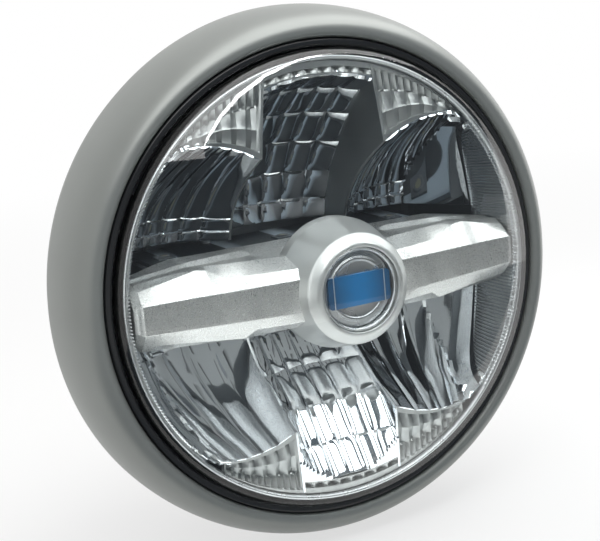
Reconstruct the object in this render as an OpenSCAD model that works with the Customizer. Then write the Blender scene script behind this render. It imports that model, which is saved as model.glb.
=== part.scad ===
// Round motorcycle headlight with light-emitting diodes: painted rim, domed lens, faceted reflectors and
// a crossbar.
// Every piece is drawn looking at the lamp: x to the viewer's right, y up, z towards the viewer.
// The last step turns this so that the lamp faces -Y. Depths are measured back from the rim's opening plane.

/* [Rim] */
// Radius of the opening in the rim
opening_r = 89; // [86:0.5:92]
// Radius of the most forward line of the rim
rim_crest_r = 91.5; // [91:0.1:92.5]
// Height of that line in front of the opening plane
rim_crest_rise = 1; // [0.5:0.1:2]
// Widest radius of the rim
rim_r = 101.6; // [100:0.2:106]
// Depth of the widest line
rim_widest_depth = 25.5; // [20:0.5:30]
// Depth of the rim's rear edge
rim_rear_depth = 33; // [31:0.5:40]
// Turn-in of the rim from its widest line to its rear edge
rim_tuck = 2; // [1:0.2:4]
// Wall of the rim
rim_wall = 2.4; // [1.8:0.1:3]
// Radius of the circle that the rim screws stand on
rim_screw_circle_r = 93.7; // [93:0.1:94]
// Number of rim screws
rim_screw_count = 4; // [3:1:8]

/* [Lens] */
// Outer radius of the lens skirt
lens_r = 85.6; // [84:0.1:86]
// Height of the crown of the lens in front of the opening plane
lens_crown = 24.5; // [23:0.5:30]
// Radius of curvature of the dome
lens_dome_r = 178; // [170:1:190]
// Radius of the rounded shoulder between dome and skirt
lens_shoulder_r = 5; // [4.4:0.2:6]
// Wall of the lens
lens_wall = 2.8; // [2:0.1:3.2]

/* [Trim and flutes] */
// Inner radius of the trim ring at the front
trim_inner_r = 80.4; // [79.5:0.1:81]
// Wall of the trim ring
trim_wall = 1.7; // [1.2:0.1:2]
// Radius of the flute panels at their deep edge
flute_deep_r = 77.4; // [76:0.1:78.5]
// Depth of the flute panels at the middle of the lamp
flute_depth = 22; // [18:0.5:24]
// Half height of the flute panels
flute_half_height = 51.5; // [46:0.5:54]
// Pitch of the flutes
flute_pitch = 2.1; // [1.6:0.1:3]
// Height of a flute
flute_rise = 0.5; // [0.3:0.1:0.8]

/* [Reflectors] */
// Wall of the reflectors
reflector_wall = 2; // [1.6:0.1:2.4]
// Depth of the front of the reflector deck
deck_depth = 1.5; // [1:0.1:2.5]
// Thickness of the reflector deck
deck_t = 4.6; // [4:0.1:6]
// Height above the lamp's axis at which the upper bowls begin
bowl_floor = 15.2; // [15:0.1:17]
// Half width of the middle bowl beside the lamps
middle_half_w = 25.6; // [23:0.2:27]
// Half width of the middle bowl at its arch
middle_top_half_w = 22; // [20:0.2:24]
// Half width of the lower middle bowl
lower_half_w = 22; // [20:0.2:24]
// Distance of the upper side bowls' axes from the middle
upper_side_x = 50; // [47:0.5:52]
// Distance of the lower side bowls' axes from the middle
lower_side_x = 43.2; // [42:0.2:46]
// Depth of the side bowls
side_depth = 53; // [50:0.5:56]
// Radius of the arch of an upper side bowl
upper_arch_r = 43.4; // [41:0.2:45]
// Radius of the arch of a lower side bowl
lower_arch_r = 46.6; // [44:0.2:48]
// Bulge of one reflector facet
facet_bulge = 0.9; // [0.4:0.1:1.4]
// Columns of facets in a bowl
facet_columns = 6; // [4:1:8]

/* [Crossbar] */
// Half length of the bar's flat front
bar_face_half_l = 75.6; // [73:0.2:77]
// Half height of the bar's flat front at its ends
bar_face_half_h = 5.2; // [4:0.1:6]
// Half height of the bar's shelf
bar_half_h = 14.2; // [13:0.1:14.6]
// Depth of the bar's front at its ends
bar_end_depth = -1.4; // [-3:0.1:0]
// How far the bar's front comes forward towards the hub
bar_bow = 9.3; // [8:0.1:10]
// Depth of the rear edge of the bar's shelf
bar_rear_depth = 28; // [24:0.5:29]
// Wall of the bar
bar_wall = 2.2; // [1.8:0.1:2.6]
// Radius of the hub at its root
hub_root_r = 24.3; // [23:0.1:26]
// Radius of the hub at its front
hub_r = 20.4; // [19:0.1:22]
// Depth of the hub's front edge
hub_depth = -14.6; // [-16:0.1:-13]
// Radius of the recess for the badge
badge_recess_r = 15.3; // [14:0.1:17]
// Depth of the front of the hub ring
hub_ring_depth = -18.1; // [-18.4:0.1:-17]

/* [Badge] */
// Width of the bare badge plate
badge_w = 25; // [20:0.5:28]
// Height of the bare badge plate
badge_h = 11.4; // [8:0.2:13]

/* [Lamps and carrier] */
// Half width of the carrier
carrier_half_w = 60; // [56:0.5:62]
// Half height of the carrier
carrier_half_h = 9.5; // [8.5:0.1:9.8]
// Depth of the carrier's front
carrier_front = 20; // [19:0.5:22]
// Wall of the carrier
carrier_wall = 3.4; // [3:0.1:4]
// Thickness of the lamp boards
board_t = 1.6; // [1:0.1:2]
// Depth of the lamps below the opening plane
lamp_depth = 43.5; // [41:0.5:46]
// Side of a square lamp package
lamp_side = 7; // [5:0.1:8]

/* [Rear housing] */
// Depth of the mounting plane below the opening plane
mount_depth = 84; // [82:0.5:90]
// Radius of the housing behind its flange
housing_r = 86; // [85:0.2:87]
// Radius of the housing at its rear corner
housing_rear_r = 81; // [80:0.2:83]
// Depth of the outside of the rear wall
rear_wall_depth = 76; // [75:0.5:80]
// Wall of the housing
housing_wall = 2.6; // [2:0.1:3]
// Radius of the housing flange
flange_r = 96.6; // [96.5:0.1:97]
// Diameter of the circle of mounting bosses
mount_pcd = 132; // [126:0.5:136]
// Radius of the threaded hole in a mounting insert
mount_hole_r = 2.5; // [2:0.1:3]
// Length of a mounting insert
insert_l = 10; // [8:0.5:12]

/* [Heat sink and socket] */
// Width of the heat sink's base
sink_w = 116; // [112:1:118]
// Height of the heat sink's base
sink_h = 70; // [66:1:70]
// Thickness of the heat sink's base
sink_base_t = 4; // [3:0.5:5]
// Height of the fins
fin_h = 13.5; // [8:0.5:16]
// Number of fins
fin_count = 13; // [9:2:15]
// Spacing of the fins
fin_pitch = 7.8; // [7:0.1:8]
// Thickness of a fin
fin_t = 2; // [1.5:0.1:2.4]
// Inner width of the connector socket
socket_w = 22; // [20:0.5:24]
// Inner height of the connector socket
socket_h = 10; // [9:0.5:11]
// Length of the socket outside the housing
socket_l = 17; // [16:0.5:20]
// Distance of the socket below the lamp's axis
socket_drop = 52; // [50:0.5:54]

/* [Hidden] */
$fn = 64;
seat = 0.3;
fit = 0.1;
thermal_gap = 0.4;
rise = 0.02;

gasket_top = 0.4;
lip_depth = 4.2;
channel_top = 6;
floor_front = 13.6;
floor_back = floor_front + 2.4;
skirt_end = floor_front - 1.4;
channel_wall = 1.8;
channel_r = lens_r + 1.4;
ledge_r = trim_inner_r - 0.8;

screw_r = 1.5;
screw_head_r = 2.9;
screw_head_t = 2.2;
pilot_r = 1.3;
boss_r = 3.2;
rim_screw_start = 45;
reflector_screw_r = 77.2;
reflector_screw_a = 62;
lug_r = 4.6;

inner_front_r = lens_r - lens_wall;
trim_r = inner_front_r - 0.4;
trim_front = -0.4;
deck_r = trim_r - trim_wall - seat;
bowl_axis_y = 12;
side_wall_slope = 1.6;

shelf_half_w = 56;
step_in_x = 45;
step_out_x = 55;
hub_root_depth = -1;
hub_ring_t = 3.2;
bar_screw_x = 40;
bar_boss_r = 4;

lamp_x_up = [-upper_side_x, 0, upper_side_x];
lamp_x_down = [-lower_side_x, 0, lower_side_x];
board_half_w = 58;
board_front = 30.5;
board_back = 66;
carrier_back = rear_wall_depth - 4;
board_screw_x = 26;
board_screw_depths = [34.5, 61];

rear_inside = rear_wall_depth - housing_wall;
sink_seal_t = 0.8;
sink_face = rear_wall_depth + sink_seal_t;
sink_back = sink_face + sink_base_t;
window_w = sink_w - 20;
window_h = sink_h - 14;
sink_screw = [sink_w / 2 - 4, sink_h / 2 - 4];
carrier_screw_x = 3.5 * fin_pitch;
mount_boss_r = 7.4;
insert_r = 4.2;

driver_w = 60;
driver_h = 24;
driver_front = 61;
driver_t = 1.6;
driver_y = -socket_drop;
driver_screw = [driver_w / 2 - 3.5, driver_h / 2 - 3.5];

socket_wall = 1.8;
socket_flange_t = 2.4;
socket_flange = [socket_w + 18, socket_h + 12];
socket_screw_x = socket_w / 2 + 5.4;
pin_side = 1.2;
pin_pitch = 7;
pin_tip = sink_face + 9;
vent_y = 50;
vent_r = 8;

// Turns the drawing frame into the lamp's own frame, with the mounting plane at y = 0.
module lamp_frame() {
    rotate([90, 0, 0]) children();
}

// Height of a point at the given depth below the rim's opening plane.
function zd(depth) = mount_depth - depth;

function mix(a, b, t) = a + (b - a) * t;

// Revolves a profile of [radius, depth] points about the lamp's axis.
module turned(profile) {
    rotate_extrude($fn = 120) polygon([for (p = profile) [p[0], zd(p[1])]]);
}

// Extrudes a flat outline from one depth back to another.
module slab(front, back) {
    translate([0, 0, zd(back)]) linear_extrude(back - front) children();
}

module disc(r, front, back) {
    translate([0, 0, zd(back)]) cylinder(r = r, h = back - front);
}

// A rectangle with round corners, made of two crossed rectangles and four circles.
module round_rect(w, h, r) {
    square([w - 2 * r, h], center = true);
    square([w, h - 2 * r], center = true);
    for (sx = [-1, 1], sy = [-1, 1]) translate([sx * (w / 2 - r), sy * (h / 2 - r)]) circle(r);
}

module around(count, r, start = 0) {
    for (i = [0:count - 1]) rotate(start + i * 360 / count) translate([r, 0, 0]) children();
}

module four_corners(x, y) {
    for (sx = [-1, 1], sy = [-1, 1]) translate([sx * x, sy * y, 0]) children();
}

// Places a child at each reflector screw.
module reflector_points(upper, lower) {
    for (sx = [-1, 1], sy = concat(upper ? [1] : [], lower ? [-1] : [])) {
        a = reflector_screw_a;
        translate([sx * reflector_screw_r * cos(a), sy * reflector_screw_r * sin(a), 0]) children();
    }
}

// A screw whose head lies behind the depth "seat_d" and whose shank runs forward to "tip_d".
module screw(seat_d, tip_d, r = screw_r, head_r = screw_head_r, head_t = screw_head_t) {
    difference() {
        union() {
            disc(head_r, seat_d, seat_d + head_t);
            disc(r, tip_d, seat_d + 0.01);
        }
        translate([0, 0, zd(seat_d + head_t + 0.01)]) cylinder(r = 1.3, h = 1.2, $fn = 6);
    }
}

// Closed solid through a list of rings, each ring having the same number of points.
module loft(rings) {
    n = len(rings[0]);
    m = len(rings);
    sides = [
        for (k = [0:m - 2], i = [0:n - 1], half = [0, 1])
            let (a = k * n + i, b = k * n + (i + 1) % n, c = a + n, d = b + n)
                half == 0 ? [a, b, d] : [a, d, c]
    ];
    caps = [[for (i = [n - 1:-1:0]) i], [for (i = [0:n - 1]) (m - 1) * n + i]];
    polyhedron(
        points = [for (r = rings, p = r) p],
        faces = [for (f = concat(sides, caps)) reversed(f)],
        convexity = 6
    );
}

// Rim section

// Quarter of an ellipse from the crest to the widest line, moved in by the wall "w".
function rim_curve(w, steps) = [
    for (i = [0:steps])
        let (t = 90 * i / steps)
            [
                rim_crest_r + (rim_r - w - rim_crest_r) * sin(t),
                w - rim_crest_rise + (rim_widest_depth + rim_crest_rise - w) * (1 - cos(t))
            ]
];

function lip_curve(steps) = [
    for (i = [0:steps])
        let (t = 90 * i / steps)
            [
                rim_crest_r - (rim_crest_r - opening_r) * cos(t),
                1.5 - (1.5 + rim_crest_rise) * sin(t)
            ]
];

function reversed(list) = [for (i = [len(list) - 1:-1:0]) list[i]];

module rim() {
    tail = rim_r - rim_tuck;
    color("silver") difference() {
        union() {
            turned(concat(
                [[opening_r, lip_depth]],
                lip_curve(6),
                rim_curve(0, 20),
                [[tail, rim_rear_depth], [tail - rim_wall, rim_rear_depth]],
                [[tail - rim_wall, rim_rear_depth - 1.6]],
                reversed(rim_curve(rim_wall, 16)),
                [[rim_crest_r, lip_depth]]
            ));
            around(rim_screw_count, rim_screw_circle_r, rim_screw_start)
                disc(boss_r, lip_depth, floor_front);
        }
        around(rim_screw_count, rim_screw_circle_r, rim_screw_start)
            disc(pilot_r, channel_top, floor_front + 1);
    }
}

module rim_gasket() {
    color("black") difference() {
        turned([
            [lens_r + fit, gasket_top + 0.6],
            [lens_r + 0.9, gasket_top],
            [opening_r - 0.8, gasket_top],
            [opening_r - fit, gasket_top + 0.8],
            [opening_r - fit, lip_depth + fit],
            [rim_crest_r - 0.4, lip_depth + fit],
            [rim_crest_r - 0.4, channel_top - fit],
            [lens_r + fit, channel_top - fit]
        ]);
        around(rim_screw_count, rim_screw_circle_r, rim_screw_start)
            disc(boss_r + fit, lip_depth, channel_top + 1);
    }
}

module rim_screws() {
    color("dimgray") around(rim_screw_count, rim_screw_circle_r, rim_screw_start)
        screw(floor_back, channel_top + 1.5, r = pilot_r - 0.05, head_r = 2.6);
}

// Lens

// Dome and shoulder are arcs that meet tangent; "w" moves the whole curve inwards.
function lens_curve(w, steps) =
    let (
        join = asin((lens_r - lens_shoulder_r) / (lens_dome_r - lens_shoulder_r)),
        centre_d = lens_dome_r - lens_crown,
        shoulder_d = centre_d - (lens_dome_r - lens_shoulder_r) * cos(join)
    )
    concat(
        [for (i = [0:steps]) let (a = join * i / steps)
            [(lens_dome_r - w) * sin(a), centre_d - (lens_dome_r - w) * cos(a)]],
        [for (i = [1:8]) let (a = mix(join, 90, i / 8))
            [
                lens_r - lens_shoulder_r + (lens_shoulder_r - w) * sin(a),
                shoulder_d - (lens_shoulder_r - w) * cos(a)
            ]]
    );

module lens() {
    color([0.85, 0.92, 0.95, 0.35]) turned(concat(
        lens_curve(0, 24),
        [[lens_r, skirt_end], [inner_front_r, skirt_end]],
        reversed(lens_curve(lens_wall, 24))
    ));
}

module lens_seal() {
    color("black") turned([
        [inner_front_r, skirt_end + 0.1],
        [channel_r - fit, skirt_end + 0.1],
        [channel_r - fit, floor_front - 0.05],
        [inner_front_r, floor_front - 0.05]
    ]);
}

// Trim ring and fluted side panels

module trim_ring() {
    color("gainsboro") turned([
        [trim_inner_r, trim_front + 0.9],
        [trim_inner_r + 0.7, trim_front],
        [trim_r - 0.5, trim_front],
        [trim_r, trim_front + 0.6],
        [trim_r, floor_front - 0.05],
        [trim_r - trim_wall, floor_front - 0.05],
        [trim_r - trim_wall, trim_front + 2.4],
        [trim_inner_r, trim_front + 1.8]
    ]);
}

// Depth of the panels' inner edge: an ellipse that runs out at the ends of the panel.
function flute_edge_depth(y) =
    flute_depth * sqrt(max(0, 1 - pow(y / flute_half_height, 2))) + deck_depth;

function flute_x(y, depth) =
    sqrt(pow(mix(trim_inner_r - 0.3, flute_deep_r, depth / flute_depth), 2) - y * y);

// One cross section of the panel at height y: front edge, deep edge and the same two on its outside.
function flute_ring(side, y, lift, thick) =
    let (
        near = trim_front + 2.6,
        far = flute_edge_depth(y),
        xn = flute_x(y, near) - lift,
        xf = flute_x(y, far) - lift,
        ring = [[xn, near], [xf, far + 0.6], [xf + thick + lift, far + 0.6], [xn + thick + lift, near]]
    )
    [for (p = side > 0 ? ring : reversed(ring)) [side * p[0], y, zd(p[1])]];

module flute_panel(side) {
    rib_count = floor(2 * (flute_half_height - 3) / flute_pitch);
    half_span = rib_count * flute_pitch / 2;
    loft([
        for (k = [0:2 * rib_count])
            flute_ring(side, half_span - k * flute_pitch / 2, k % 2 == 1 ? flute_rise : 0, 0.8)
    ]);
}

module left_flutes() {
    color("lightgray") flute_panel(-1);
}

module right_flutes() {
    color("lightgray") flute_panel(1);
}

// Reflectors

// Outline of the outer side wall of a bowl: it starts at the deep edge of the flute panel.
function wall_x(y) = sqrt(pow(flute_deep_r - 0.4, 2) - y * y) - 1.4;

function side_depth_at(x, y, axis_x, arch_r) =
    min(
        deck_depth + side_depth
            * (1 - (pow(x - axis_x, 2) + pow(y - bowl_axis_y, 2)) / pow(arch_r, 2)),
        flute_edge_depth(y) + side_wall_slope * (wall_x(y) - x)
    );

// Depth of the middle bowls along their centre line, as [height, depth] of each row of facets.
upper_rows = [[15.2, 62], [24, 61], [36, 57], [49, 48], [61, 31], [72, 7]];
lower_rows = [[15.2, 57], [28, 47], [39.6, 34], [50, 21], [64, 11], [75.2, 3]];
side_rows_up = [15.2, 20, 26, 44, 57];
side_rows_down = [15.2, 26, 44, 61];
middle_sag = 55;

function middle_depth_at(x, y, rows) = lookup(y, rows) - x * x / middle_sag;

function with_midpoints(list) = concat(
    [for (i = [0:len(list) - 2], half = [0, 1]) mix(list[i], list[i + 1], half / 2)],
    [list[len(list) - 1]]
);

// Block between a faceted shape and the plane at depth "front", for cutting or for the outside of a bowl.
// Odd grid points lie proud by "bulge", so every facet is a low cushion. "grow" moves all walls outwards.
module bowl_block(ys, x_from, x_to, depth_fn, front, bulge, grow, floor_d) {
    nx = 2 * facet_columns;
    ny = len(ys) - 1;
    w = nx + 1;
    grid = [
        for (j = [0:ny], i = [0:nx])
            let (
                y = ys[j] + (j == ny ? grow : 0) - (j == 0 ? 1 : 0),
                x = mix(x_from(ys[j]) - grow * 0.6, x_to(ys[j]) + grow * 0.6, i / nx),
                proud = i % 2 == 0 ? 0 : bulge * (j % 2 == 0 ? 0.5 : 1)
            )
            [x, y, zd(max(floor_d, depth_fn(x, ys[j]) - proud + grow))]
    ];
    lid = [for (p = grid) [p[0], p[1], zd(front)]];
    n = len(grid);
    skin = [
        for (j = [0:ny - 1], i = [0:nx - 1], half = [0, 1])
            let (a = j * w + i, b = a + 1, c = a + w, d = c + 1)
                half == 0 ? [a, b, d] : [a, d, c]
    ];
    top = [for (f = skin) [f[2] + n, f[1] + n, f[0] + n]];
    rim_loop = concat(
        [for (i = [0:nx - 1]) i],
        [for (j = [0:ny - 1]) j * w + nx],
        [for (i = [nx:-1:1]) ny * w + i],
        [for (j = [ny:-1:1]) j * w]
    );
    m = len(rim_loop);
    wall = [
        for (k = [0:m - 1], half = [0, 1])
            let (a = rim_loop[k], b = rim_loop[(k + 1) % m])
                half == 0 ? [a, b + n, b] : [a, a + n, b + n]
    ];
    polyhedron(points = concat(grid, lid), faces = concat(skin, top, wall), convexity = 8);
}

// One side bowl on the right; the left one is its mirror image.
module side_bowl(axis_x, arch_r, rows, half_w, front, bulge, grow, floor_d) {
    bowl_block(
        with_midpoints(rows),
        function(y) half_w - reflector_wall / 2 - 1,
        function(y) wall_x(min(y, 58)),
        function(x, y) side_depth_at(x, y, axis_x, arch_r),
        front, bulge, grow, floor_d
    );
}

module middle_bowl(rows, half_w, top_half_w, front, bulge, grow, floor_d) {
    ys = [for (r = rows) r[0]];
    top = ys[len(ys) - 1];
    function half_at(y) = y < 49 ? half_w : mix(half_w, top_half_w, (y - 49) / (top - 49));
    bowl_block(
        with_midpoints(ys),
        function(y) reflector_wall / 2 - half_at(y),
        function(y) half_at(y) - reflector_wall / 2,
        function(x, y) middle_depth_at(x, y, rows),
        front, bulge, grow, floor_d
    );
}

// The bowls of one reflector, either as cutters or as their outsides.
module bowls(rows, half_w, top_half_w, axis_x, arch_r, side_rows, front, bulge, grow, floor_d) {
    middle_bowl(rows, half_w, top_half_w, front, bulge, grow, floor_d);
    for (s = [0, 1]) mirror([s, 0, 0])
        side_bowl(axis_x, arch_r, side_rows, half_w, front, bulge, grow, floor_d);
}

// A small prism cell cut into the deck: full depth along its far edge, nothing along its near edge.
module cell(w, h, depth) {
    hull() {
        translate([-w / 2, h / 2 - 0.2, zd(deck_depth + depth)]) cube([w, 0.2, depth + 1]);
        translate([-w / 2, -h / 2, zd(deck_depth)]) cube([w, h, 1]);
    }
}

module arch_cells(arch_centre_y, r) {
    count = 9;
    for (i = [0:count - 1]) {
        a = mix(-19, 19, i / (count - 1));
        translate([0, arch_centre_y, 0]) rotate(-a) translate([0, r, 0]) cell(4, 3.6, 2.6);
    }
}

// Two rows of prism cells between the arch of a side bowl and the trim ring.
module corner_cells(axis_x, arch_r, half_w) {
    count = 5;
    pitch = (axis_x + 7 - half_w) / count;
    for (s = [0, 1], i = [0:count - 1], row = [0, 1]) {
        x = half_w + 2 + pitch * (i + 0.5);
        low = bowl_axis_y + sqrt(max(0, pow(arch_r, 2) - pow(x - axis_x, 2))) + 1;
        high = sqrt(pow(deck_r - 1.2, 2) - x * x);
        room = (high - low) * 0.42;
        if (room > 1.4) mirror([s, 0, 0])
            translate([x, low + (high - low) * (row == 0 ? 0.3 : 0.76), 0])
                cell(pitch - 0.7, room, 2.4);
    }
}

// Room for the flute panels, cut from the reflectors.
module flute_clearance() {
    far = flute_depth + deck_depth + 1.2;
    for (s = [0, 1]) mirror([s, 0, 0]) intersection() {
        turned([
            [trim_inner_r - 0.8, deck_depth - 2],
            [deck_r + 6, deck_depth - 2],
            [deck_r + 6, far],
            [flute_deep_r - 0.4, far]
        ]);
        translate([0, -flute_half_height - 1, 0]) cube([2 * deck_r, 2 * flute_half_height + 2, mount_depth]);
    }
}

module reflector(rows, half_w, top_half_w, axis_x, arch_r, side_rows) {
    deck_back = deck_depth + deck_t;
    cut_front = deck_depth - 12;
    wall = reflector_wall;
    difference() {
        union() {
            slab(deck_depth, deck_back) difference() {
                circle(deck_r, $fn = 96);
                translate([-deck_r, -2 * deck_r + bowl_floor - 1]) square(2 * deck_r);
                for (s = [0, 1]) mirror([s, 0, 0]) translate([flute_x(0, 0) - 14, 0])
                    square([20, flute_half_height - 4]);
            }
            bowls(rows, half_w, top_half_w, axis_x, arch_r, side_rows,
                deck_depth + 1, 0, wall, deck_back - 0.6);
            for (sx = [-1, 1]) translate([sx * reflector_screw_r * cos(reflector_screw_a),
                reflector_screw_r * sin(reflector_screw_a), 0])
                disc(boss_r, deck_back - 1, floor_front - 0.05, $fn = 20);
        }
        bowls(rows, half_w, top_half_w, axis_x, arch_r, side_rows, cut_front, facet_bulge, 0, cut_front + 2);
        translate([-deck_r, bowl_floor - 9, 0]) cube([2 * deck_r, 9, mount_depth + 4]);
        flute_clearance();
        corner_cells(axis_x, arch_r, half_w);
        arch_cells(bowl_axis_y, rows[len(rows) - 1][0] - bowl_axis_y + 3.4);
        for (sx = [-1, 1]) translate([sx * reflector_screw_r * cos(reflector_screw_a),
            reflector_screw_r * sin(reflector_screw_a), 0])
            disc(pilot_r, deck_back, floor_front + 1, $fn = 16);
    }
}

module upper_reflector() {
    color("lightsteelblue")
        reflector(upper_rows, middle_half_w, middle_top_half_w, upper_side_x, upper_arch_r, side_rows_up);
}

module lower_reflector() {
    color("lightsteelblue") mirror([0, 1, 0])
        reflector(lower_rows, lower_half_w, lower_half_w - 1, lower_side_x, lower_arch_r, side_rows_down);
}

module reflector_screws() {
    color("dimgray") reflector_points(true, true)
        screw(floor_back, deck_depth + deck_t + 2, r = pilot_r - 0.05, head_r = 2.6);
}

// Crossbar and badge

function bar_front(x) = bar_end_depth - bar_bow * (bar_face_half_l - x) / (bar_face_half_l - 21);

// Edge lines of the bar from the middle outwards, each as [distance from the middle, value].
bar_end_x = bar_face_half_l + 1;
bar_xs = [21, 36.4, 40.4, step_in_x, 50.6, step_out_x, bar_face_half_l, bar_end_x];
top_bevel_h = [[21, 9.9], [step_in_x, 9.7], [50.6, 13], [step_out_x, 13.9], [bar_face_half_l, 9.4],
    [bar_end_x, 8.8]];
top_bevel_d = [[21, -8.8], [step_in_x, -2.5], [50.6, 0.5], [step_out_x, -0.6], [bar_face_half_l, 3],
    [bar_end_x, 4.2]];
top_shelf_h = [[21, 13.5], [step_out_x, 14.2], [bar_face_half_l, 11.4], [bar_end_x, 10.6]];
top_shelf_d = [[21, -0.8], [step_in_x, 2.5], [50.6, 3.8], [step_out_x, 1.8], [bar_face_half_l, 7.2],
    [bar_end_x, 8]];
low_bevel_h = [[21, 9.3], [36.4, 9.6], [40.4, 12.2], [bar_face_half_l, 9.6], [bar_end_x, 9]];
low_bevel_d = [[21, -10], [36.4, -6.2], [40.4, -4.6], [bar_face_half_l, 2.8], [bar_end_x, 4]];
low_shelf_h = [[21, 12.6], [step_out_x, 13.1], [bar_face_half_l, 11.2], [bar_end_x, 10.4]];
low_shelf_d = [[21, -4], [40.4, -2], [bar_face_half_l, 6.6], [bar_end_x, 7.6]];

// The face turns back a little at the very end.
function bar_face_depth(x) = x > bar_face_half_l ? 0.6 : bar_front(x);

// Section of the bar at x: [height, depth] from the upper rear edge round the front to the lower one.
function bar_section(x, rear) = [
    [lookup(x, top_shelf_h), rear],
    [lookup(x, top_shelf_h), lookup(x, top_shelf_d)],
    [lookup(x, top_bevel_h), lookup(x, top_bevel_d)],
    [bar_face_half_h + max(0, bar_face_half_l - x) * rise, bar_face_depth(x)],
    [-bar_face_half_h - max(0, bar_face_half_l - x) * rise / 2, bar_face_depth(x)],
    [-lookup(x, low_bevel_h), lookup(x, low_bevel_d)],
    [-lookup(x, low_shelf_h), lookup(x, low_shelf_d)],
    [-lookup(x, low_shelf_h), rear]
];

// Stations from the middle outwards: [x, section].
function bar_stations(rear, rear_out) = concat(
    [[0, bar_section(21, rear)]],
    [for (x = bar_xs) [x, bar_section(x, x > 50 ? mix(rear, rear_out, min(1, (x - 50) / 25)) : rear)]]
);

// The bar's ends follow the flute panels with a small gap.
function station_x(x, p) = x > bar_face_half_l ? flute_x(p[0], p[1]) - flute_rise - seat : x;

function mirrored_rings(stations) = concat(
    [
        for (i = [len(stations) - 1:-1:1])
            let (s = stations[i])
                [for (p = s[1]) [-station_x(s[0], p), p[0], zd(p[1])]]
    ],
    [for (s = stations) [for (p = s[1]) [station_x(s[0], p), p[0], zd(p[1])]]]
);

// The same stations moved in by the wall, open to the rear.
function hollow_stations(rear, rear_out) = [
    for (s = bar_stations(rear, rear_out))
        [
            s[0] > bar_face_half_l ? bar_face_half_l - 0.2 : s[0] * 0.96,
            [for (p = s[1]) [p[0] * (1 - bar_wall / bar_half_h), max(p[1], bar_front(s[0])) + bar_wall]]
        ]
];

module crossbar() {
    color("silver") difference() {
        union() {
            difference() {
                loft(mirrored_rings(bar_stations(bar_rear_depth, 18)));
                loft(mirrored_rings(hollow_stations(bar_rear_depth + 6, 24)));
            }
            turned([
                [0, hub_depth],
                [hub_r, hub_depth],
                [hub_root_r, hub_root_depth],
                [hub_root_r, hub_root_depth + 6],
                [0, hub_root_depth + 6]
            ]);
            for (s = [-1, 1]) translate([s * bar_screw_x, 0, 0])
                disc(bar_boss_r, bar_front(bar_screw_x) + 1, carrier_front - 0.05);
        }
        turned([
            [0, hub_depth - 4],
            [badge_recess_r, hub_depth - 4],
            [badge_recess_r, hub_depth + 3],
            [0, hub_depth + 3]
        ]);
        turned([
            [0, hub_depth + 5.2],
            [hub_r - 2.4, hub_depth + 5.2],
            [hub_root_r - 2.4, hub_root_depth + 7],
            [0, hub_root_depth + 7]
        ]);
        for (s = [-1, 1]) translate([s * bar_screw_x, 0, 0]) disc(pilot_r, 4, carrier_front + 1);
    }
}

module crossbar_screws() {
    color("dimgray") for (s = [-1, 1]) translate([s * bar_screw_x, 0, 0])
        screw(carrier_front + carrier_wall, 6, r = pilot_r - 0.05);
}

module hub_ring() {
    color("silver") turned([
        [badge_recess_r + 0.05, hub_ring_depth + 0.5],
        [badge_recess_r + 0.6, hub_ring_depth],
        [badge_recess_r + 2, hub_ring_depth],
        [hub_r - 0.2, hub_depth - 0.6],
        [hub_r - 0.2, hub_depth - 0.05],
        [badge_recess_r + 0.05, hub_depth - 0.05]
    ]);
}

module badge_ring() {
    color("lightgray") turned([
        [badge_recess_r - 1.5, hub_ring_depth + 1.4],
        [badge_recess_r - 0.8, hub_ring_depth + 0.8],
        [badge_recess_r - 0.1, hub_ring_depth + 1.2],
        [badge_recess_r - 0.1, hub_depth - 0.3],
        [badge_recess_r - 1.5, hub_depth - 0.3]
    ]);
}

module badge_disc() {
    floor_d = hub_depth + 2.95;
    face_d = hub_depth - 0.35;
    color("gainsboro") turned([
        [0, face_d],
        [4, face_d],
        [4.5, face_d + 0.4],
        [9, face_d + 0.4],
        [9.5, face_d],
        [badge_recess_r - 1.6, face_d],
        [badge_recess_r - 1.6, hub_depth - 0.25],
        [badge_recess_r - 0.1, hub_depth - 0.25],
        [badge_recess_r - 0.1, floor_d],
        [0, floor_d]
    ]);
}

module badge_plate() {
    color("royalblue") slab(hub_depth - 1.9, hub_depth - 0.4) round_rect(badge_w, badge_h, 1.4);
}

// Carrier, boards and lamps

module led_carrier() {
    inner_h = carrier_half_h - carrier_wall;
    color("darkgray") difference() {
        slab(carrier_front, carrier_back)
            square([2 * carrier_half_w, 2 * carrier_half_h], center = true);
        difference() {
            slab(carrier_front + carrier_wall, carrier_back + 1)
                square([2 * (carrier_half_w - carrier_wall), 2 * inner_h], center = true);
            for (s = [-1, 1]) translate([s * carrier_screw_x, 0, 0])
                disc(5.2, carrier_back - 16, carrier_back + 2);
            for (s = [-1, 0, 1]) translate([s * carrier_screw_x, 0, 0])
                slab(carrier_front + 14, carrier_back + 2) square([3, 2 * inner_h + 2], center = true);
        }
        for (s = [-1, 1]) translate([s * bar_screw_x, 0, 0])
            disc(screw_r + 0.2, carrier_front - 1, carrier_front + carrier_wall + 1);
        for (s = [-1, 1]) translate([s * carrier_screw_x, 0, 0])
            disc(screw_r, carrier_back - 11, carrier_back + 1);
        board_points(1) cylinder(r = screw_r - 0.25, h = 2.4, center = true);
        board_points(-1) cylinder(r = screw_r - 0.25, h = 2.4, center = true);
    }
}

// Screw places on the upper (1) or lower (-1) face of the carrier; z there runs away from the carrier.
module board_points(side) {
    for (sx = [-1, 1], d = board_screw_depths)
        translate([sx * board_screw_x, side * carrier_half_h, zd(d)]) rotate([-90 * side, 0, 0]) children();
}

module led_board(side, lamp_xs) {
    difference() {
        translate([-board_half_w, side > 0 ? carrier_half_h : -carrier_half_h - board_t, zd(board_back)])
            cube([2 * board_half_w, board_t, board_back - board_front]);
        board_points(side) cylinder(r = screw_r + 0.2, h = 3 * board_t, center = true);
    }
}

module upper_led_board() {
    color("darkslategray") led_board(1, lamp_x_up);
}

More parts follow.
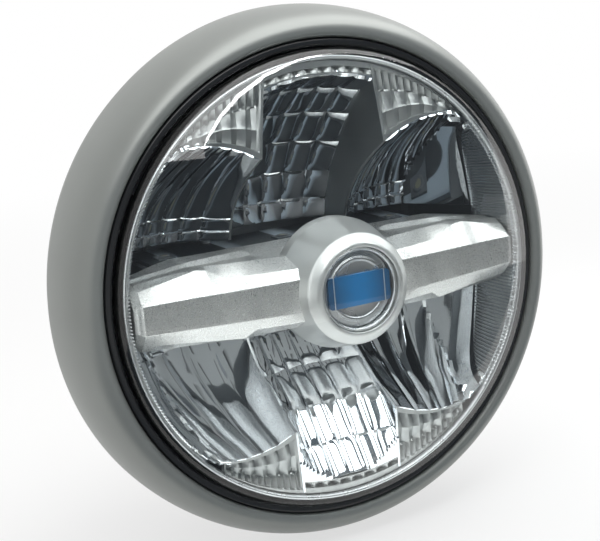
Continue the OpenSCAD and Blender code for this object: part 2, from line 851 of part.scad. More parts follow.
module lower_led_board() {
    color("darkslategray") led_board(-1, lamp_x_down);
}

// Square package with a low round emitter, standing on the board.
module led(side, x) {
    translate([x, side * (carrier_half_h + board_t), zd(lamp_depth)]) rotate([-90 * side, 0, 0]) {
        translate([0, 0, 0.4]) cube([lamp_side, lamp_side, 0.8], center = true);
        translate([0, 0, 0.8]) cylinder(r1 = lamp_side * 0.36, r2 = lamp_side * 0.3, h = 0.5);
    }
}

module upper_leds() {
    color("lemonchiffon") for (x = lamp_x_up) led(1, x);
}

module lower_leds() {
    color("lemonchiffon") for (x = lamp_x_down) led(-1, x);
}

module board_screws() {
    color("dimgray") for (side = [-1, 1]) board_points(side) {
        translate([0, 0, board_t]) cylinder(r = 2.4, h = 1.2);
        translate([0, 0, -1]) cylinder(r = screw_r - 0.3, h = board_t + 1.2);
    }
}

// Housing

module housing_shell() {
    turned([
        [channel_r, channel_top],
        [channel_r + channel_wall, channel_top],
        [channel_r + channel_wall, floor_front],
        [flange_r, floor_front],
        [flange_r, floor_back],
        [housing_r + 1, floor_back],
        [housing_r, floor_back + 3],
        [housing_rear_r, rear_wall_depth - 7],
        [housing_rear_r - 2, rear_wall_depth - 2],
        [housing_rear_r - 7, rear_wall_depth],
        [0, rear_wall_depth],
        [0, rear_inside],
        [housing_rear_r - 7, rear_inside],
        [housing_rear_r - housing_wall - 1.4, rear_wall_depth - 4],
        [housing_rear_r - housing_wall, rear_wall_depth - 7],
        [housing_r - housing_wall, floor_back + 3],
        [housing_r - housing_wall, floor_back],
        [ledge_r, floor_back],
        [ledge_r, floor_front],
        [channel_r, floor_front]
    ]);
}

module rear_housing() {
    color([0.12, 0.12, 0.13]) difference() {
        union() {
            housing_shell();
            around(4, mount_pcd / 2, 45) disc(mount_boss_r, rear_inside - 2, mount_depth);
            reflector_points(true, true) disc(lug_r, floor_front, floor_back);
            four_corners(sink_screw[0], sink_screw[1]) disc(4, rear_inside - 8, rear_inside + 1);
            translate([0, driver_y, 0]) four_corners(driver_screw[0], driver_screw[1])
                disc(boss_r, driver_front + driver_t, rear_inside + 1);
            for (s = [-1, 1]) translate([s * socket_screw_x, -socket_drop, 0])
                disc(boss_r, rear_inside - 5, rear_inside + 1);
        }
        around(4, mount_pcd / 2, 45) disc(insert_r + 0.05, mount_depth - insert_l, mount_depth + 1);
        around(rim_screw_count, rim_screw_circle_r, rim_screw_start)
            disc(screw_r + 0.2, floor_front - 1, floor_back + 1);
        reflector_points(true, true) disc(screw_r + 0.2, floor_front - 1, floor_back + 1);
        four_corners(sink_screw[0], sink_screw[1]) disc(pilot_r, rear_inside - 6, rear_wall_depth + 1);
        translate([0, driver_y, 0]) four_corners(driver_screw[0], driver_screw[1])
            disc(pilot_r - 0.2, driver_front, driver_front + driver_t + 7);
        for (s = [-1, 1]) translate([s * socket_screw_x, -socket_drop, 0])
            disc(pilot_r, rear_inside - 4, rear_wall_depth + 1);
        slab(rear_inside - 1, rear_wall_depth + 1) round_rect(window_w, window_h, 6);
        slab(rear_inside - 1, rear_wall_depth + 1) translate([0, -socket_drop])
            round_rect(socket_w + 2 * socket_wall + 0.4, socket_h + 2 * socket_wall + 0.4, 2);
        translate([0, vent_y, 0]) disc(4.1, rear_inside - 1, rear_wall_depth + 1);
    }
}

module mount_inserts() {
    color("goldenrod") around(4, mount_pcd / 2, 45) difference() {
        disc(insert_r, mount_depth - insert_l + 0.05, mount_depth);
        disc(mount_hole_r, mount_depth - insert_l - 1, mount_depth + 1);
    }
}

// Heat sink

module thermal_pad() {
    color("lightgray") slab(carrier_back, carrier_back + thermal_gap) difference() {
        square([2 * carrier_half_w - 30, 2 * carrier_half_h - 0.4], center = true);
        for (s = [-1, 1]) translate([s * carrier_screw_x, 0]) circle(screw_r + 0.3);
    }
}

module heat_sink() {
    field = (fin_count - 1) / 2;
    color("dimgray") difference() {
        union() {
            slab(sink_face, sink_back) round_rect(sink_w, sink_h, 5);
            slab(carrier_back + thermal_gap, sink_face + 0.1) round_rect(window_w - 3, window_h - 3, 5);
            for (i = [-field:field]) translate([i * fin_pitch, 0, 0])
                slab(sink_back - 0.1, sink_back + fin_h) square([fin_t, sink_h - 4], center = true);
        }
        four_corners(sink_screw[0], sink_screw[1]) disc(screw_r + 0.2, sink_face - 1, sink_back + 1);
        four_corners(sink_screw[0], sink_screw[1])
            disc(screw_head_r + 0.3, sink_back, sink_back + fin_h + 1);
        for (s = [-1, 1]) translate([s * carrier_screw_x, 0, 0])
            disc(screw_r + 0.2, carrier_back, sink_back + 1);
    }
}

module heat_sink_seal() {
    color("black") difference() {
        slab(rear_wall_depth, sink_face - 0.02) round_rect(sink_w - 1, sink_h - 1, 4.5);
        slab(rear_wall_depth - 1, sink_face + 1) round_rect(window_w + 0.4, window_h + 0.4, 6);
        four_corners(sink_screw[0], sink_screw[1]) disc(screw_r + 0.3, rear_wall_depth - 1, sink_face + 1);
    }
}

module heat_sink_screws() {
    color("dimgray") four_corners(sink_screw[0], sink_screw[1])
        screw(sink_back, rear_inside - 4, r = pilot_r - 0.05);
}

module carrier_screws() {
    color("dimgray") for (s = [-1, 1]) translate([s * carrier_screw_x, 0, 0])
        screw(sink_back, carrier_back - 8, r = screw_r - 0.05, head_r = 2.7);
}

// Driver board and its parts

module driver_board() {
    color("darkgreen") difference() {
        slab(driver_front, driver_front + driver_t) translate([0, driver_y])
            square([driver_w, driver_h], center = true);
        translate([0, driver_y, 0]) four_corners(driver_screw[0], driver_screw[1])
            disc(pilot_r + 0.2, driver_front - 1, driver_front + driver_t + 1);
    }
}

module driver_parts() {
    front = driver_front;
    color("slategray") {
        for (s = [-1, 1]) translate([s * 17, driver_y, 0]) disc(5.4, front - 9, front);
        for (s = [-1, 1]) translate([s * 7.5, driver_y - 5, 0]) disc(3, front - 11, front);
        slab(front - 2, front) translate([0, driver_y + 4]) square([8, 8], center = true);
    }
}

module driver_screws() {
    color("dimgray") translate([0, driver_y, 0]) four_corners(driver_screw[0], driver_screw[1]) {
        disc(2.3, driver_front - 1.4, driver_front);
        disc(pilot_r - 0.25, driver_front - 0.1, driver_front + driver_t + 6);
    }
}

// Connector socket

module socket_body() {
    outer = [socket_w + 2 * socket_wall, socket_h + 2 * socket_wall];
    mouth = sink_face + socket_flange_t + socket_l - 2;
    color([0.1, 0.1, 0.1]) translate([0, -socket_drop, 0]) difference() {
        union() {
            slab(driver_front + driver_t + 3, mouth) round_rect(outer[0], outer[1], 2);
            slab(sink_face, sink_face + socket_flange_t) round_rect(socket_flange[0], socket_flange[1], 4);
            slab(mouth - 9, mouth - 4) translate([0, outer[1] / 2]) square([7, 3], center = true);
        }
        slab(sink_face + socket_flange_t, mouth + 1) round_rect(socket_w, socket_h, 1.2);
        for (s = [-1, 1]) translate([s * socket_screw_x, 0, 0])
            disc(screw_r + 0.2, sink_face - 1, sink_face + socket_flange_t + 1);
        pin_places() slab(driver_front, mouth) square(pin_side + 0.1, center = true);
    }
}

module pin_places() {
    for (i = [-1:1], sy = [-1, 1]) translate([i * pin_pitch, sy * socket_h / 4, 0]) children();
}

module socket_pins() {
    color("gold") translate([0, -socket_drop, 0]) pin_places()
        slab(driver_front + driver_t, pin_tip) square(pin_side, center = true);
}

module socket_seal() {
    color("black") translate([0, -socket_drop, 0]) difference() {
        slab(rear_wall_depth, sink_face - 0.02) round_rect(socket_flange[0] - 1, socket_flange[1] - 1, 3.5);
        slab(rear_wall_depth - 1, sink_face + 1)
            round_rect(socket_w + 2 * socket_wall + 0.6, socket_h + 2 * socket_wall + 0.6, 2);
        for (s = [-1, 1]) translate([s * socket_screw_x, 0, 0])
            disc(screw_r + 0.3, rear_wall_depth - 1, sink_face + 1);
    }
}

module socket_screws() {
    color("dimgray") for (s = [-1, 1]) translate([s * socket_screw_x, -socket_drop, 0])
        screw(sink_face + socket_flange_t, rear_inside - 3, r = pilot_r - 0.05);
}

module vent_cap() {
    color([0.1, 0.1, 0.1]) translate([0, vent_y, 0]) difference() {
        union() {
            disc(4, rear_inside - 2, rear_wall_depth + 0.5);
            disc(vent_r, rear_wall_depth, rear_wall_depth + 3);
            disc(vent_r - 1.4, rear_wall_depth + 2.9, rear_wall_depth + 4);
        }
        disc(2.2, rear_inside - 3, rear_wall_depth + 1.4);
        for (a = [0:60:300]) rotate(a) translate([vent_r - 1, 0, zd(rear_wall_depth + 2.4)])
            cube([6, 1.6, 1.4], center = true);
    }
}

lamp_frame() rim();
lamp_frame() rim_gasket();
lamp_frame() rim_screws();
lamp_frame() lens();
lamp_frame() lens_seal();
lamp_frame() trim_ring();
lamp_frame() left_flutes();
lamp_frame() right_flutes();
lamp_frame() upper_reflector();
lamp_frame() lower_reflector();
lamp_frame() reflector_screws();
lamp_frame() crossbar();
lamp_frame() crossbar_screws();
lamp_frame() hub_ring();
lamp_frame() badge_ring();
lamp_frame() badge_disc();
lamp_frame() badge_plate();
lamp_frame() led_carrier();
lamp_frame() upper_led_board();
lamp_frame() lower_led_board();
lamp_frame() upper_leds();
lamp_frame() lower_leds();
lamp_frame() board_screws();
lamp_frame() rear_housing();
lamp_frame() mount_inserts();
lamp_frame() thermal_pad();
lamp_frame() heat_sink();
lamp_frame() heat_sink_seal();
lamp_frame() heat_sink_screws();
lamp_frame() carrier_screws();
lamp_frame() driver_board();
lamp_frame() driver_parts();
lamp_frame() driver_screws();
lamp_frame() socket_body();
lamp_frame() socket_pins();
lamp_frame() socket_seal();
lamp_frame() socket_screws();
lamp_frame() vent_cap();
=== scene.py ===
"""Looks of the round motorcycle headlight, built as an add-on that is run as a script.

Shapes are worked out in millimetres as (x, z, depth): x to the right, z up, and depth back from the plane of
the rim's opening.
"""
import math

import bmesh
import bpy
import numpy as np
from bpy.props import FloatProperty, FloatVectorProperty, PointerProperty
from mathutils import Matrix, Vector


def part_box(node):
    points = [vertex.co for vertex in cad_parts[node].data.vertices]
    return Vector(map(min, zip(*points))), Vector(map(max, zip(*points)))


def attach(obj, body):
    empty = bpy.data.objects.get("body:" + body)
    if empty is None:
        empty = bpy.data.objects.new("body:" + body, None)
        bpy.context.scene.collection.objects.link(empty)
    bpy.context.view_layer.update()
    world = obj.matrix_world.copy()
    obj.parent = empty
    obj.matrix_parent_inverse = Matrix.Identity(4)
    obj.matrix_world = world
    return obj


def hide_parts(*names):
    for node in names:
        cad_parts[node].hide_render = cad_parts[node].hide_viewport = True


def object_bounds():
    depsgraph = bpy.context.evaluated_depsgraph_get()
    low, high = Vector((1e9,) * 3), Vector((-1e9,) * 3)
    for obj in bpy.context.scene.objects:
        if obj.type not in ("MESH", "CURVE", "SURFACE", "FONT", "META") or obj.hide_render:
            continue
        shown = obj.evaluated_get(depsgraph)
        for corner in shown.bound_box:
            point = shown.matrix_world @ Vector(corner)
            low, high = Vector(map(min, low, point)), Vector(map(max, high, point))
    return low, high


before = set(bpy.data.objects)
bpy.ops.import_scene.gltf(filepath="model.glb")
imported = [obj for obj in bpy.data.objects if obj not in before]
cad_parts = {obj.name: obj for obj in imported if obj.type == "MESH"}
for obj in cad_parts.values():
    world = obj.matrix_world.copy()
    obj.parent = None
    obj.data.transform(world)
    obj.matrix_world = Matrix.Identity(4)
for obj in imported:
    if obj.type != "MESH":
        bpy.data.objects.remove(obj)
CAD_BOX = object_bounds()

bl_info = {
    "name": "Round Motorcycle Headlight",
    "version": (1, 0, 0),
    "blender": (4, 5, 0),
    "location": "View3D > Sidebar > Headlight",
    "description": "Builds a round headlight with a domed lens, faceted reflectors and a crossbar",
    "category": "Add Mesh",
}

# Shared sizes in millimetres
# How far the opening plane lies in front of the mount's plane; the rim's rolled edge stands 1 mm before it
FACE = -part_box("rim")[0].y * 1000 - 1.0
# Depth of the reflectors' flat parts
DECK = 1.5
# Radius that the reflectors fill
RING_R = 80.2
# Height of the bowls' axes, and of the reflectors' straight edge at the bar
BOWL_Z = 12.0
FLOOR_Z = 15.2
# Depth of the hub's front face
HUB_FACE = -14.6
# How far behind the deck the flute panels' deep edge lies at mid height, and the half height of the ellipse
# that it follows
FLUTE_DEPTH = 22.0
FLUTE_HALF_HEIGHT = 51.5
# Clearance of the bowls and the bar to the cone that holds the flute panels
WALL_GAP = 0.9


def linear(hex_colour):
    """An sRGB hex colour as linear red, green, blue and an alpha of 1."""
    parts = [int(hex_colour[i:i + 2], 16) / 255 for i in (1, 3, 5)]
    return tuple(c / 12.92 if c <= 0.04045 else ((c + 0.055) / 1.055) ** 2.4 for c in parts) + (1.0,)


# Sizes and colours that a user may change


class LampSettings(bpy.types.PropertyGroup):
    """Sizes and colours of the headlight"""

    rim_colour: FloatVectorProperty(name="Rim paint", description="Colour of the rim", subtype="COLOR",
                                    size=4, min=0, max=1, default=linear("#898c89"))
    bar_colour: FloatVectorProperty(name="Bar", description="Colour of the crossbar", subtype="COLOR",
                                    size=4, min=0, max=1, default=linear("#d0d0ce"))
    badge_colour: FloatVectorProperty(name="Badge", description="Colour of the bare badge plate",
                                      subtype="COLOR", size=4, min=0, max=1, default=linear("#0078b8"))
    flute_pitch: FloatProperty(name="Flute pitch", description="Distance from one flute to the next",
                               unit="LENGTH", default=0.00126, min=0.0008, max=0.003)
    facet_bulge: FloatProperty(name="Facet bulge", description="Height of a reflector facet's cushion",
                               unit="LENGTH", default=0.00055, min=0.0, max=0.0015)


# Mesh making


def grid_quads(nu, nv, wrap_u=False, wrap_v=False):
    """Corner numbers of the quads of a grid of nu by nv points. A wrapped side joins its last row to its
    first."""
    i, j = np.meshgrid(np.arange(nu if wrap_u else nu - 1), np.arange(nv if wrap_v else nv - 1), indexing="ij")
    i2, j2 = (i + 1) % nu, (j + 1) % nv
    return np.stack([i * nv + j, i2 * nv + j, i2 * nv + j2, i * nv + j2], -1).reshape(-1, 4)


def finish_mesh(name, parts, material, replaced=(), sharp=30.0):
    """Joins parts, each (points in mm as x, z, depth; quads), into one object that rides on the lamp. Edges
    that turn by more than sharp degrees stay sharp."""
    points, quads, start = [], [], 0
    for p, q in parts:
        p = p.reshape(-1, 3)
        points.append(p)
        quads.append(q + start)
        start += len(p)
    p = np.concatenate(points)
    co = np.stack([p[:, 0], p[:, 2] - FACE, p[:, 1]], -1) / 1000
    mesh = bpy.data.meshes.new(name)
    mesh.from_pydata(co, [], np.concatenate(quads))
    bm = bmesh.new()
    bm.from_mesh(mesh)
    bmesh.ops.remove_doubles(bm, verts=bm.verts, dist=2e-7)
    bmesh.ops.dissolve_degenerate(bm, edges=bm.edges, dist=1e-7)
    bmesh.ops.recalc_face_normals(bm, faces=bm.faces)
    bm.to_mesh(mesh)
    bm.free()
    mesh.shade_smooth()
    mesh.set_sharp_from_angle(angle=math.radians(sharp))
    mesh.materials.append(material)
    made = bpy.data.objects.new(name, mesh)
    bpy.context.collection.objects.link(made)
    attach(made, "root")
    if replaced:
        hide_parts(*replaced)
    return made


def normals(grid):
    """Unit normals of a grid of points: the cross product of its two gradients."""
    n = np.cross(np.gradient(grid, axis=0), np.gradient(grid, axis=1))
    return n / np.maximum(np.linalg.norm(n, axis=-1, keepdims=True), 1e-9)


def panel(grid, thickness):
    """Closed panel: the grid, a copy moved back along its normals, and the strip round its border."""
    nu, nv, _ = grid.shape
    n = normals(grid)
    n = np.where(np.mean(n[..., 2]) < 0, -n, n)
    both = np.concatenate([grid.reshape(-1, 3), (grid + thickness * n).reshape(-1, 3)])
    index = np.arange(nu * nv).reshape(nu, nv)
    loop = np.concatenate([index[:-1, 0], index[-1, :-1], index[:0:-1, -1], index[0, :0:-1]])
    nxt = np.roll(loop, -1)
    strip = np.stack([loop, nxt, nxt + nu * nv, loop + nu * nv], -1)
    front = grid_quads(nu, nv)
    return both, np.concatenate([front, front[:, ::-1] + nu * nv, strip])


def turned(profile, count=192, radial=None):
    """Revolves a closed profile of [radius, depth] points; radial(angle, profile) may move the radii."""
    a = np.linspace(0, 2 * math.pi, count, endpoint=False)[:, None]
    r = np.broadcast_to(profile[:, 0], (count, len(profile)))
    if radial is not None:
        r = r + radial(a, profile)
    d = np.broadcast_to(profile[:, 1], r.shape)
    return np.stack([r * np.cos(a), r * np.sin(a), d], -1), grid_quads(count, len(profile), True, True)


def rounded(corners, steps=5):
    """Closed profile through corners of [radius, depth, fillet]: each fillet is a quadratic curve between the
    points that lie one fillet length before and after the corner."""
    c = np.array(corners, float)
    p, f = c[:, :2], c[:, 2:3]
    before, after = np.roll(p, 1, 0) - p, np.roll(p, -1, 0) - p
    lb = np.linalg.norm(before, axis=1, keepdims=True)
    la = np.linalg.norm(after, axis=1, keepdims=True)
    a = p + before * np.minimum(f / lb, 0.49)
    b = p + after * np.minimum(f / la, 0.49)
    t = np.linspace(0, 1, steps)[None, :, None]
    return ((1 - t) ** 2 * a[:, None] + 2 * t * (1 - t) * p[:, None] + t ** 2 * b[:, None]).reshape(-1, 2)


def cells(breaks, samples):
    """Positions along a row of cells, and how far across its own cell each lies, from 0 to 1."""
    b = np.asarray(breaks, float)
    s = np.linspace(0, 1, samples, endpoint=False)
    t = (b[:-1, None] + np.diff(b)[:, None] * s).ravel()
    return np.append(t, b[-1]), np.append(np.tile(s, len(b) - 1), 0.0)


# Shaders


def add(tree, kind, inputs=None, **settings):
    """Adds one shader node. Inputs are values or other nodes' output sockets, by socket name or number."""
    made = tree.nodes.new(kind)
    for key, value in settings.items():
        setattr(made, key, value)
    for key, value in (inputs or {}).items():
        if isinstance(value, bpy.types.NodeSocket):
            tree.links.new(value, made.inputs[key])
        else:
            made.inputs[key].default_value = value
    return made


def new_material(name):
    """An empty node material and its tree."""
    material = bpy.data.materials.new(name)
    material.use_nodes = True
    material.node_tree.nodes.clear()
    return material, material.node_tree


def maths(tree, operation, *values):
    """The result of one more Math node, which takes values or other nodes' output sockets."""
    return add(tree, "ShaderNodeMath", dict(enumerate(values)), operation=operation).outputs[0]


def with_output(material, tree, shader):
    """The material, with the shader sent to its output."""
    add(tree, "ShaderNodeOutputMaterial", {"Surface": shader.outputs[0]})
    return material


def surface(name, base, metallic, roughness, grain_mm=0.4, grain_height=0.02, mottle=0.06, rough_mottle=0.08):
    """A Principled surface with fine grain in its height, colour and roughness. grain_mm is the grain's size
    and grain_height its height in millimetres. Colour and roughness vary by the shares mottle and
    rough_mottle."""
    material, tree = new_material(name)
    place = add(tree, "ShaderNodeTexCoord").outputs["Object"]
    fine = add(tree, "ShaderNodeTexNoise", {"Vector": place, "Scale": 1000 / grain_mm, "Detail": 3.0})
    broad = add(tree, "ShaderNodeTexNoise", {"Vector": place, "Scale": 60.0, "Detail": 2.0})
    dark = tuple(c * (1 - mottle) for c in base[:3]) + (1.0,)
    light = tuple(min(1.0, c * (1 + mottle)) for c in base[:3]) + (1.0,)
    both = maths(tree, "ADD", broad.outputs["Fac"], fine.outputs["Fac"])
    share = add(tree, "ShaderNodeMapRange", {"Value": both, "From Min": 0.7, "From Max": 1.3})
    colour = add(tree, "ShaderNodeMix", {0: share.outputs[0], 6: dark, 7: light}, data_type="RGBA")
    rough = add(tree, "ShaderNodeMapRange", {"Value": fine.outputs["Fac"],
                                             "To Min": roughness * (1 - rough_mottle),
                                             "To Max": roughness * (1 + rough_mottle)})
    bump = add(tree, "ShaderNodeBump", {"Height": fine.outputs["Fac"], "Distance": grain_height / 1000,
                                        "Strength": 1.0})
    shader = add(tree, "ShaderNodeBsdfPrincipled", {
        "Base Color": colour.outputs[2], "Metallic": metallic, "Roughness": rough.outputs[0],
        "Normal": bump.outputs[0]})
    return with_output(material, tree, shader)


def plated(name, base, roughness):
    """Vacuum-plated plastic: a mirror whose roughness varies slightly, as on a moulded base."""
    material, tree = new_material(name)
    place = add(tree, "ShaderNodeTexCoord").outputs["Object"]
    cloud = add(tree, "ShaderNodeTexNoise", {"Vector": place, "Scale": 90.0, "Detail": 2.0})
    rough = add(tree, "ShaderNodeMapRange", {"Value": cloud.outputs["Fac"], "To Min": roughness * 0.7,
                                             "To Max": roughness * 1.3})
    shader = add(tree, "ShaderNodeBsdfPrincipled", {"Base Color": base, "Metallic": 1.0,
                                                    "Roughness": rough.outputs[0]})
    return with_output(material, tree, shader)


def polycarbonate():
    """Moulded clear polycarbonate: smooth, IOR 1.585. Rays leave the wall by refraction alone, so the faces
    mirror nothing from within. Real ones do: this keeps a haze off the bowls. Shadow rays pass through."""
    material, tree = new_material("Moulded clear polycarbonate")
    path = add(tree, "ShaderNodeLightPath")
    clear = add(tree, "ShaderNodeBsdfTransparent", {"Color": linear("#f6f9fa")})
    body = add(tree, "ShaderNodeBsdfPrincipled", {
        "Base Color": linear("#fbfdfd"), "Roughness": 0.0, "IOR": 1.585, "Transmission Weight": 1.0})
    leaving = add(tree, "ShaderNodeBsdfRefraction", {
        "Color": linear("#fbfdfd"), "Roughness": 0.0, "IOR": 1.585})
    face = add(tree, "ShaderNodeNewGeometry")
    wall = add(tree, "ShaderNodeMixShader", {0: face.outputs["Backfacing"], 1: body.outputs[0],
                                             2: leaving.outputs[0]})
    mix = add(tree, "ShaderNodeMixShader", {0: path.outputs["Is Shadow Ray"], 1: wall.outputs[0],
                                            2: clear.outputs[0]})
    return with_output(material, tree, mix)


def badge_print(base):
    """Enamel whose blue goes from bright in the middle of the plate to deep at its ends, with two thin bright
    lines across it."""
    line_x, line_half_width = 0.0102, 0.0002
    material, tree = new_material("Gloss blue badge enamel")
    place = add(tree, "ShaderNodeTexCoord").outputs["Object"]
    split = add(tree, "ShaderNodeSeparateXYZ", {0: place})
    side = maths(tree, "ABSOLUTE", split.outputs[0])
    share = add(tree, "ShaderNodeMapRange", {"Value": side, "From Min": 0.002, "From Max": 0.012})
    deep = tuple(c * 0.35 for c in base[:3]) + (1.0,)
    bright = tuple(min(1.0, c * 0.95) for c in base[:3]) + (1.0,)
    blue = add(tree, "ShaderNodeMix", {0: share.outputs[0], 6: bright, 7: deep}, data_type="RGBA")
    line = maths(tree, "COMPARE", side, line_x, line_half_width)
    colour = add(tree, "ShaderNodeMix", {0: line, 6: blue.outputs[2], 7: linear("#dfe3e6")},
                 data_type="RGBA")
    metal = add(tree, "ShaderNodeMapRange", {"Value": line, "To Min": 0.15, "To Max": 1.0})
    shader = add(tree, "ShaderNodeBsdfPrincipled", {"Base Color": colour.outputs[2], "Roughness": 0.3,
                                                    "Metallic": metal.outputs[0], "Coat Weight": 0.1})
    return with_output(material, tree, shader)


def led_chip(lamp_x):
    """Grey ceramic package with a round phosphor dot over each chip, at x 0 and at lamp_x on both sides."""
    lamp_y, dot_r, dot_edge_r = -0.0405, 0.0012, 0.0014
    material, tree = new_material("Grey ceramic with phosphor dot")
    place = add(tree, "ShaderNodeTexCoord").outputs["Object"]
    split = add(tree, "ShaderNodeSeparateXYZ", {0: place})
    side = maths(tree, "ABSOLUTE", split.outputs[0])
    off = maths(tree, "SUBTRACT", side, lamp_x)
    off = maths(tree, "ABSOLUTE", off)
    near = maths(tree, "MINIMUM", off, side)
    back = maths(tree, "ADD", split.outputs[1], -lamp_y)
    flat = add(tree, "ShaderNodeCombineXYZ", {0: near, 1: back})
    radius = add(tree, "ShaderNodeVectorMath", {0: flat.outputs[0]}, operation="LENGTH")
    dot = add(tree, "ShaderNodeMapRange", {"Value": radius.outputs["Value"], "From Min": dot_r,
                                           "From Max": dot_edge_r})
    grain = add(tree, "ShaderNodeTexNoise", {"Vector": place, "Scale": 1500.0})
    rough = add(tree, "ShaderNodeMapRange", {"Value": grain.outputs["Fac"], "To Min": 0.35, "To Max": 0.55})
    colour = add(tree, "ShaderNodeMix", {0: dot.outputs[0], 6: linear("#7d7a66"), 7: linear("#565b5f")},
                 data_type="RGBA")
    shader = add(tree, "ShaderNodeBsdfPrincipled", {"Base Color": colour.outputs[2],
                                                    "Roughness": rough.outputs[0]})
    return with_output(material, tree, shader)


def lamp_board(name, mask, pad, pitch_mm, row_mm, narrow, broad):
    """Solder mask with rows of solder pads across the board. The mask and pad colours are painted light and
    painted shade, which the bowls mirror as streaks.
    The pads' widths differ: each takes a share of its pitch between narrow and broad, which a fixed noise of
    its number gives."""
    material, tree = new_material(name)
    place = add(tree, "ShaderNodeTexCoord").outputs["Object"]
    split = add(tree, "ShaderNodeSeparateXYZ", {0: place})
    along = maths(tree, "MULTIPLY", split.outputs[0], 1000 / pitch_mm)
    number = maths(tree, "FLOOR", along)
    share = add(tree, "ShaderNodeTexWhiteNoise", {"W": number}, noise_dimensions="1D")
    wide = add(tree, "ShaderNodeMapRange", {"Value": share.outputs["Value"], "To Min": narrow, "To Max": broad})
    within = maths(tree, "FRACT", along)
    past = maths(tree, "SUBTRACT", wide.outputs[0], within)
    pads = add(tree, "ShaderNodeMapRange", {"Value": past, "From Min": -0.08, "From Max": 0.16})
    deep = maths(tree, "MULTIPLY", split.outputs[1], 1000 / row_mm)
    deep = maths(tree, "FRACT", deep)
    rows = maths(tree, "LESS_THAN", deep, 0.85)
    both = maths(tree, "MULTIPLY", pads.outputs[0], rows)
    # The mask and pad colours are painted light and shade for the bowls to mirror.
    colour = add(tree, "ShaderNodeMix", {0: both, 6: mask, 7: pad}, data_type="RGBA")
    grain = add(tree, "ShaderNodeTexNoise", {"Vector": place, "Scale": 700.0})
    rough = add(tree, "ShaderNodeMapRange", {"Value": grain.outputs["Fac"], "To Min": 0.35, "To Max": 0.5})
    shader = add(tree, "ShaderNodeBsdfPrincipled", {"Base Color": colour.outputs[2],
                                                    "Roughness": rough.outputs[0]})
    return with_output(material, tree, shader)


MATERIALS = {}


def finish(key):
    """The finish with that key, made once. After its name and colour, surface() takes metallic, roughness,
    grain size, grain height, mottle and rough mottle, in that order."""
    if key in MATERIALS:
        return MATERIALS[key]
    s = bpy.context.scene.lamp_settings
    makers = {
        # Metallic silver paint with a satin clear coat: flake gives a soft, slightly grainy sheen.
        "paint": lambda: surface("Satin silver paint", tuple(s.rim_colour), 0.5, 0.4, 0.25, 0.004, 0.03),
        # Moulded EPDM rubber, wiped: near black with a soft gloss.
        "rubber": lambda: surface("Moulded EPDM rubber", linear("#1b1c1e"), 0.0, 0.24, 0.6, 0.004),
        "clear": polycarbonate,
        # Aluminium vapour on lacquered plastic: a bright mirror.
        "mirror": lambda: plated("Vacuum plated reflector", linear("#e9ecef"), 0.05),
        # The same plating over an eroded mould, on the flat walls and corner pockets; its colour is darker than
        # the mirror's as painted shade.
        "frosted": lambda: plated("Vacuum plated frosted wall with painted shade", linear("#a9abaa"), 0.36),
        # The same plating on the trim, slightly frosted by its mould, and darker than the mirror's as painted
        # shade.
        "trim": lambda: plated("Vacuum plated trim with painted shade", linear("#b9bbbc"), 0.28),
        # The same plating on the polished flutes of the side panels.
        "flutes": lambda: surface("Plated flutes", linear("#eceeef"), 1.0, 0.13, 0.3, 0.002, 0.02),
        # Sandblasted and anodised aluminium: grain, broad highlights, dark where it faces the dark.
        "satin": lambda: surface("Satin anodised aluminium", tuple(s.bar_colour), 0.84, 0.28, 0.38, 0.005,
                                 0.04, 0.18),
        # The hub: paler and less metallic than the bar. Chosen to match the picture.
        "hub": lambda: surface("Pale satin aluminium", linear("#d3d4d2"), 0.7, 0.3, 0.5, 0.006, 0.03),
        "badge": lambda: badge_print(tuple(s.badge_colour)),
        # Pressure die-cast aluminium: dull grey with cast grain.
        "cast": lambda: surface("Die-cast aluminium", linear("#7d8082"), 0.9, 0.5, 0.9, 0.03),
        # Glass-filled nylon with an eroded mould texture.
        "housing": lambda: surface("Textured black nylon", linear("#1b1b1c"), 0.0, 0.55, 0.8, 0.03),
        # The lamp boards: one solder mask, dark on the upper board as painted shade and white on the lower as
        # painted light.
        # The pads are painted highlights and painted shade, all for the bowls to mirror.
        "upper_board": lambda: lamp_board("Upper board: painted shade with painted highlight pads", linear("#1f2428"),
                                          linear("#a9b5bf"), pitch_mm=25.0, row_mm=60.0,
                                          narrow=0.16, broad=0.42),
        "lower_board": lambda: lamp_board("Lower board: painted light with painted shade pads", linear("#eeeeec"),
                                          linear("#2b2c2e"), pitch_mm=11.0, row_mm=12.0,
                                          narrow=0.1, broad=0.42),
        "green": lambda: surface("Green solder mask", linear("#0e3a22"), 0.0, 0.35, 1.5, 0.02),
        "upper_led": lambda: led_chip(0.050),
        "lower_led": lambda: led_chip(0.0432),
        "moulded": lambda: surface("Moulded component epoxy", linear("#2c2d30"), 0.0, 0.45, 0.6, 0.01),
        # Bright zinc plating on steel.
        "zinc": lambda: surface("Zinc plated steel", linear("#b3b5b8"), 1.0, 0.32, 0.5, 0.006, 0.08),
        "brass": lambda: surface("Machined brass", linear("#c9a55a"), 1.0, 0.28, 0.5, 0.006),
        "pad": lambda: surface("Soft silicone pad", linear("#8d9196"), 0.0, 0.7, 1.0, 0.02),
    }
    MATERIALS[key] = makers[key]()
    return MATERIALS[key]


# Shapes of the lamp


def flute_edge_depth(z):
    """Depth of the flute panels' deep edge at a height, along half an ellipse."""
    return FLUTE_DEPTH * np.sqrt(np.clip(1 - (z / FLUTE_HALF_HEIGHT) ** 2, 0, 1)) + DECK


def cone_x(z, depth):
    """Half width at a height on the cone that holds the flute panels: its radius falls by 2.8 mm over them."""
    r = RING_R - 0.1 - 2.8 * depth / FLUTE_DEPTH
    return np.sqrt(np.maximum(r ** 2 - z ** 2, 0))


def arch_top(x, axis_x, arch_r):
    """Height of a side bowl's round arch above the bar."""
    return BOWL_Z + np.sqrt(np.maximum(arch_r ** 2 - (x - axis_x) ** 2, 0))


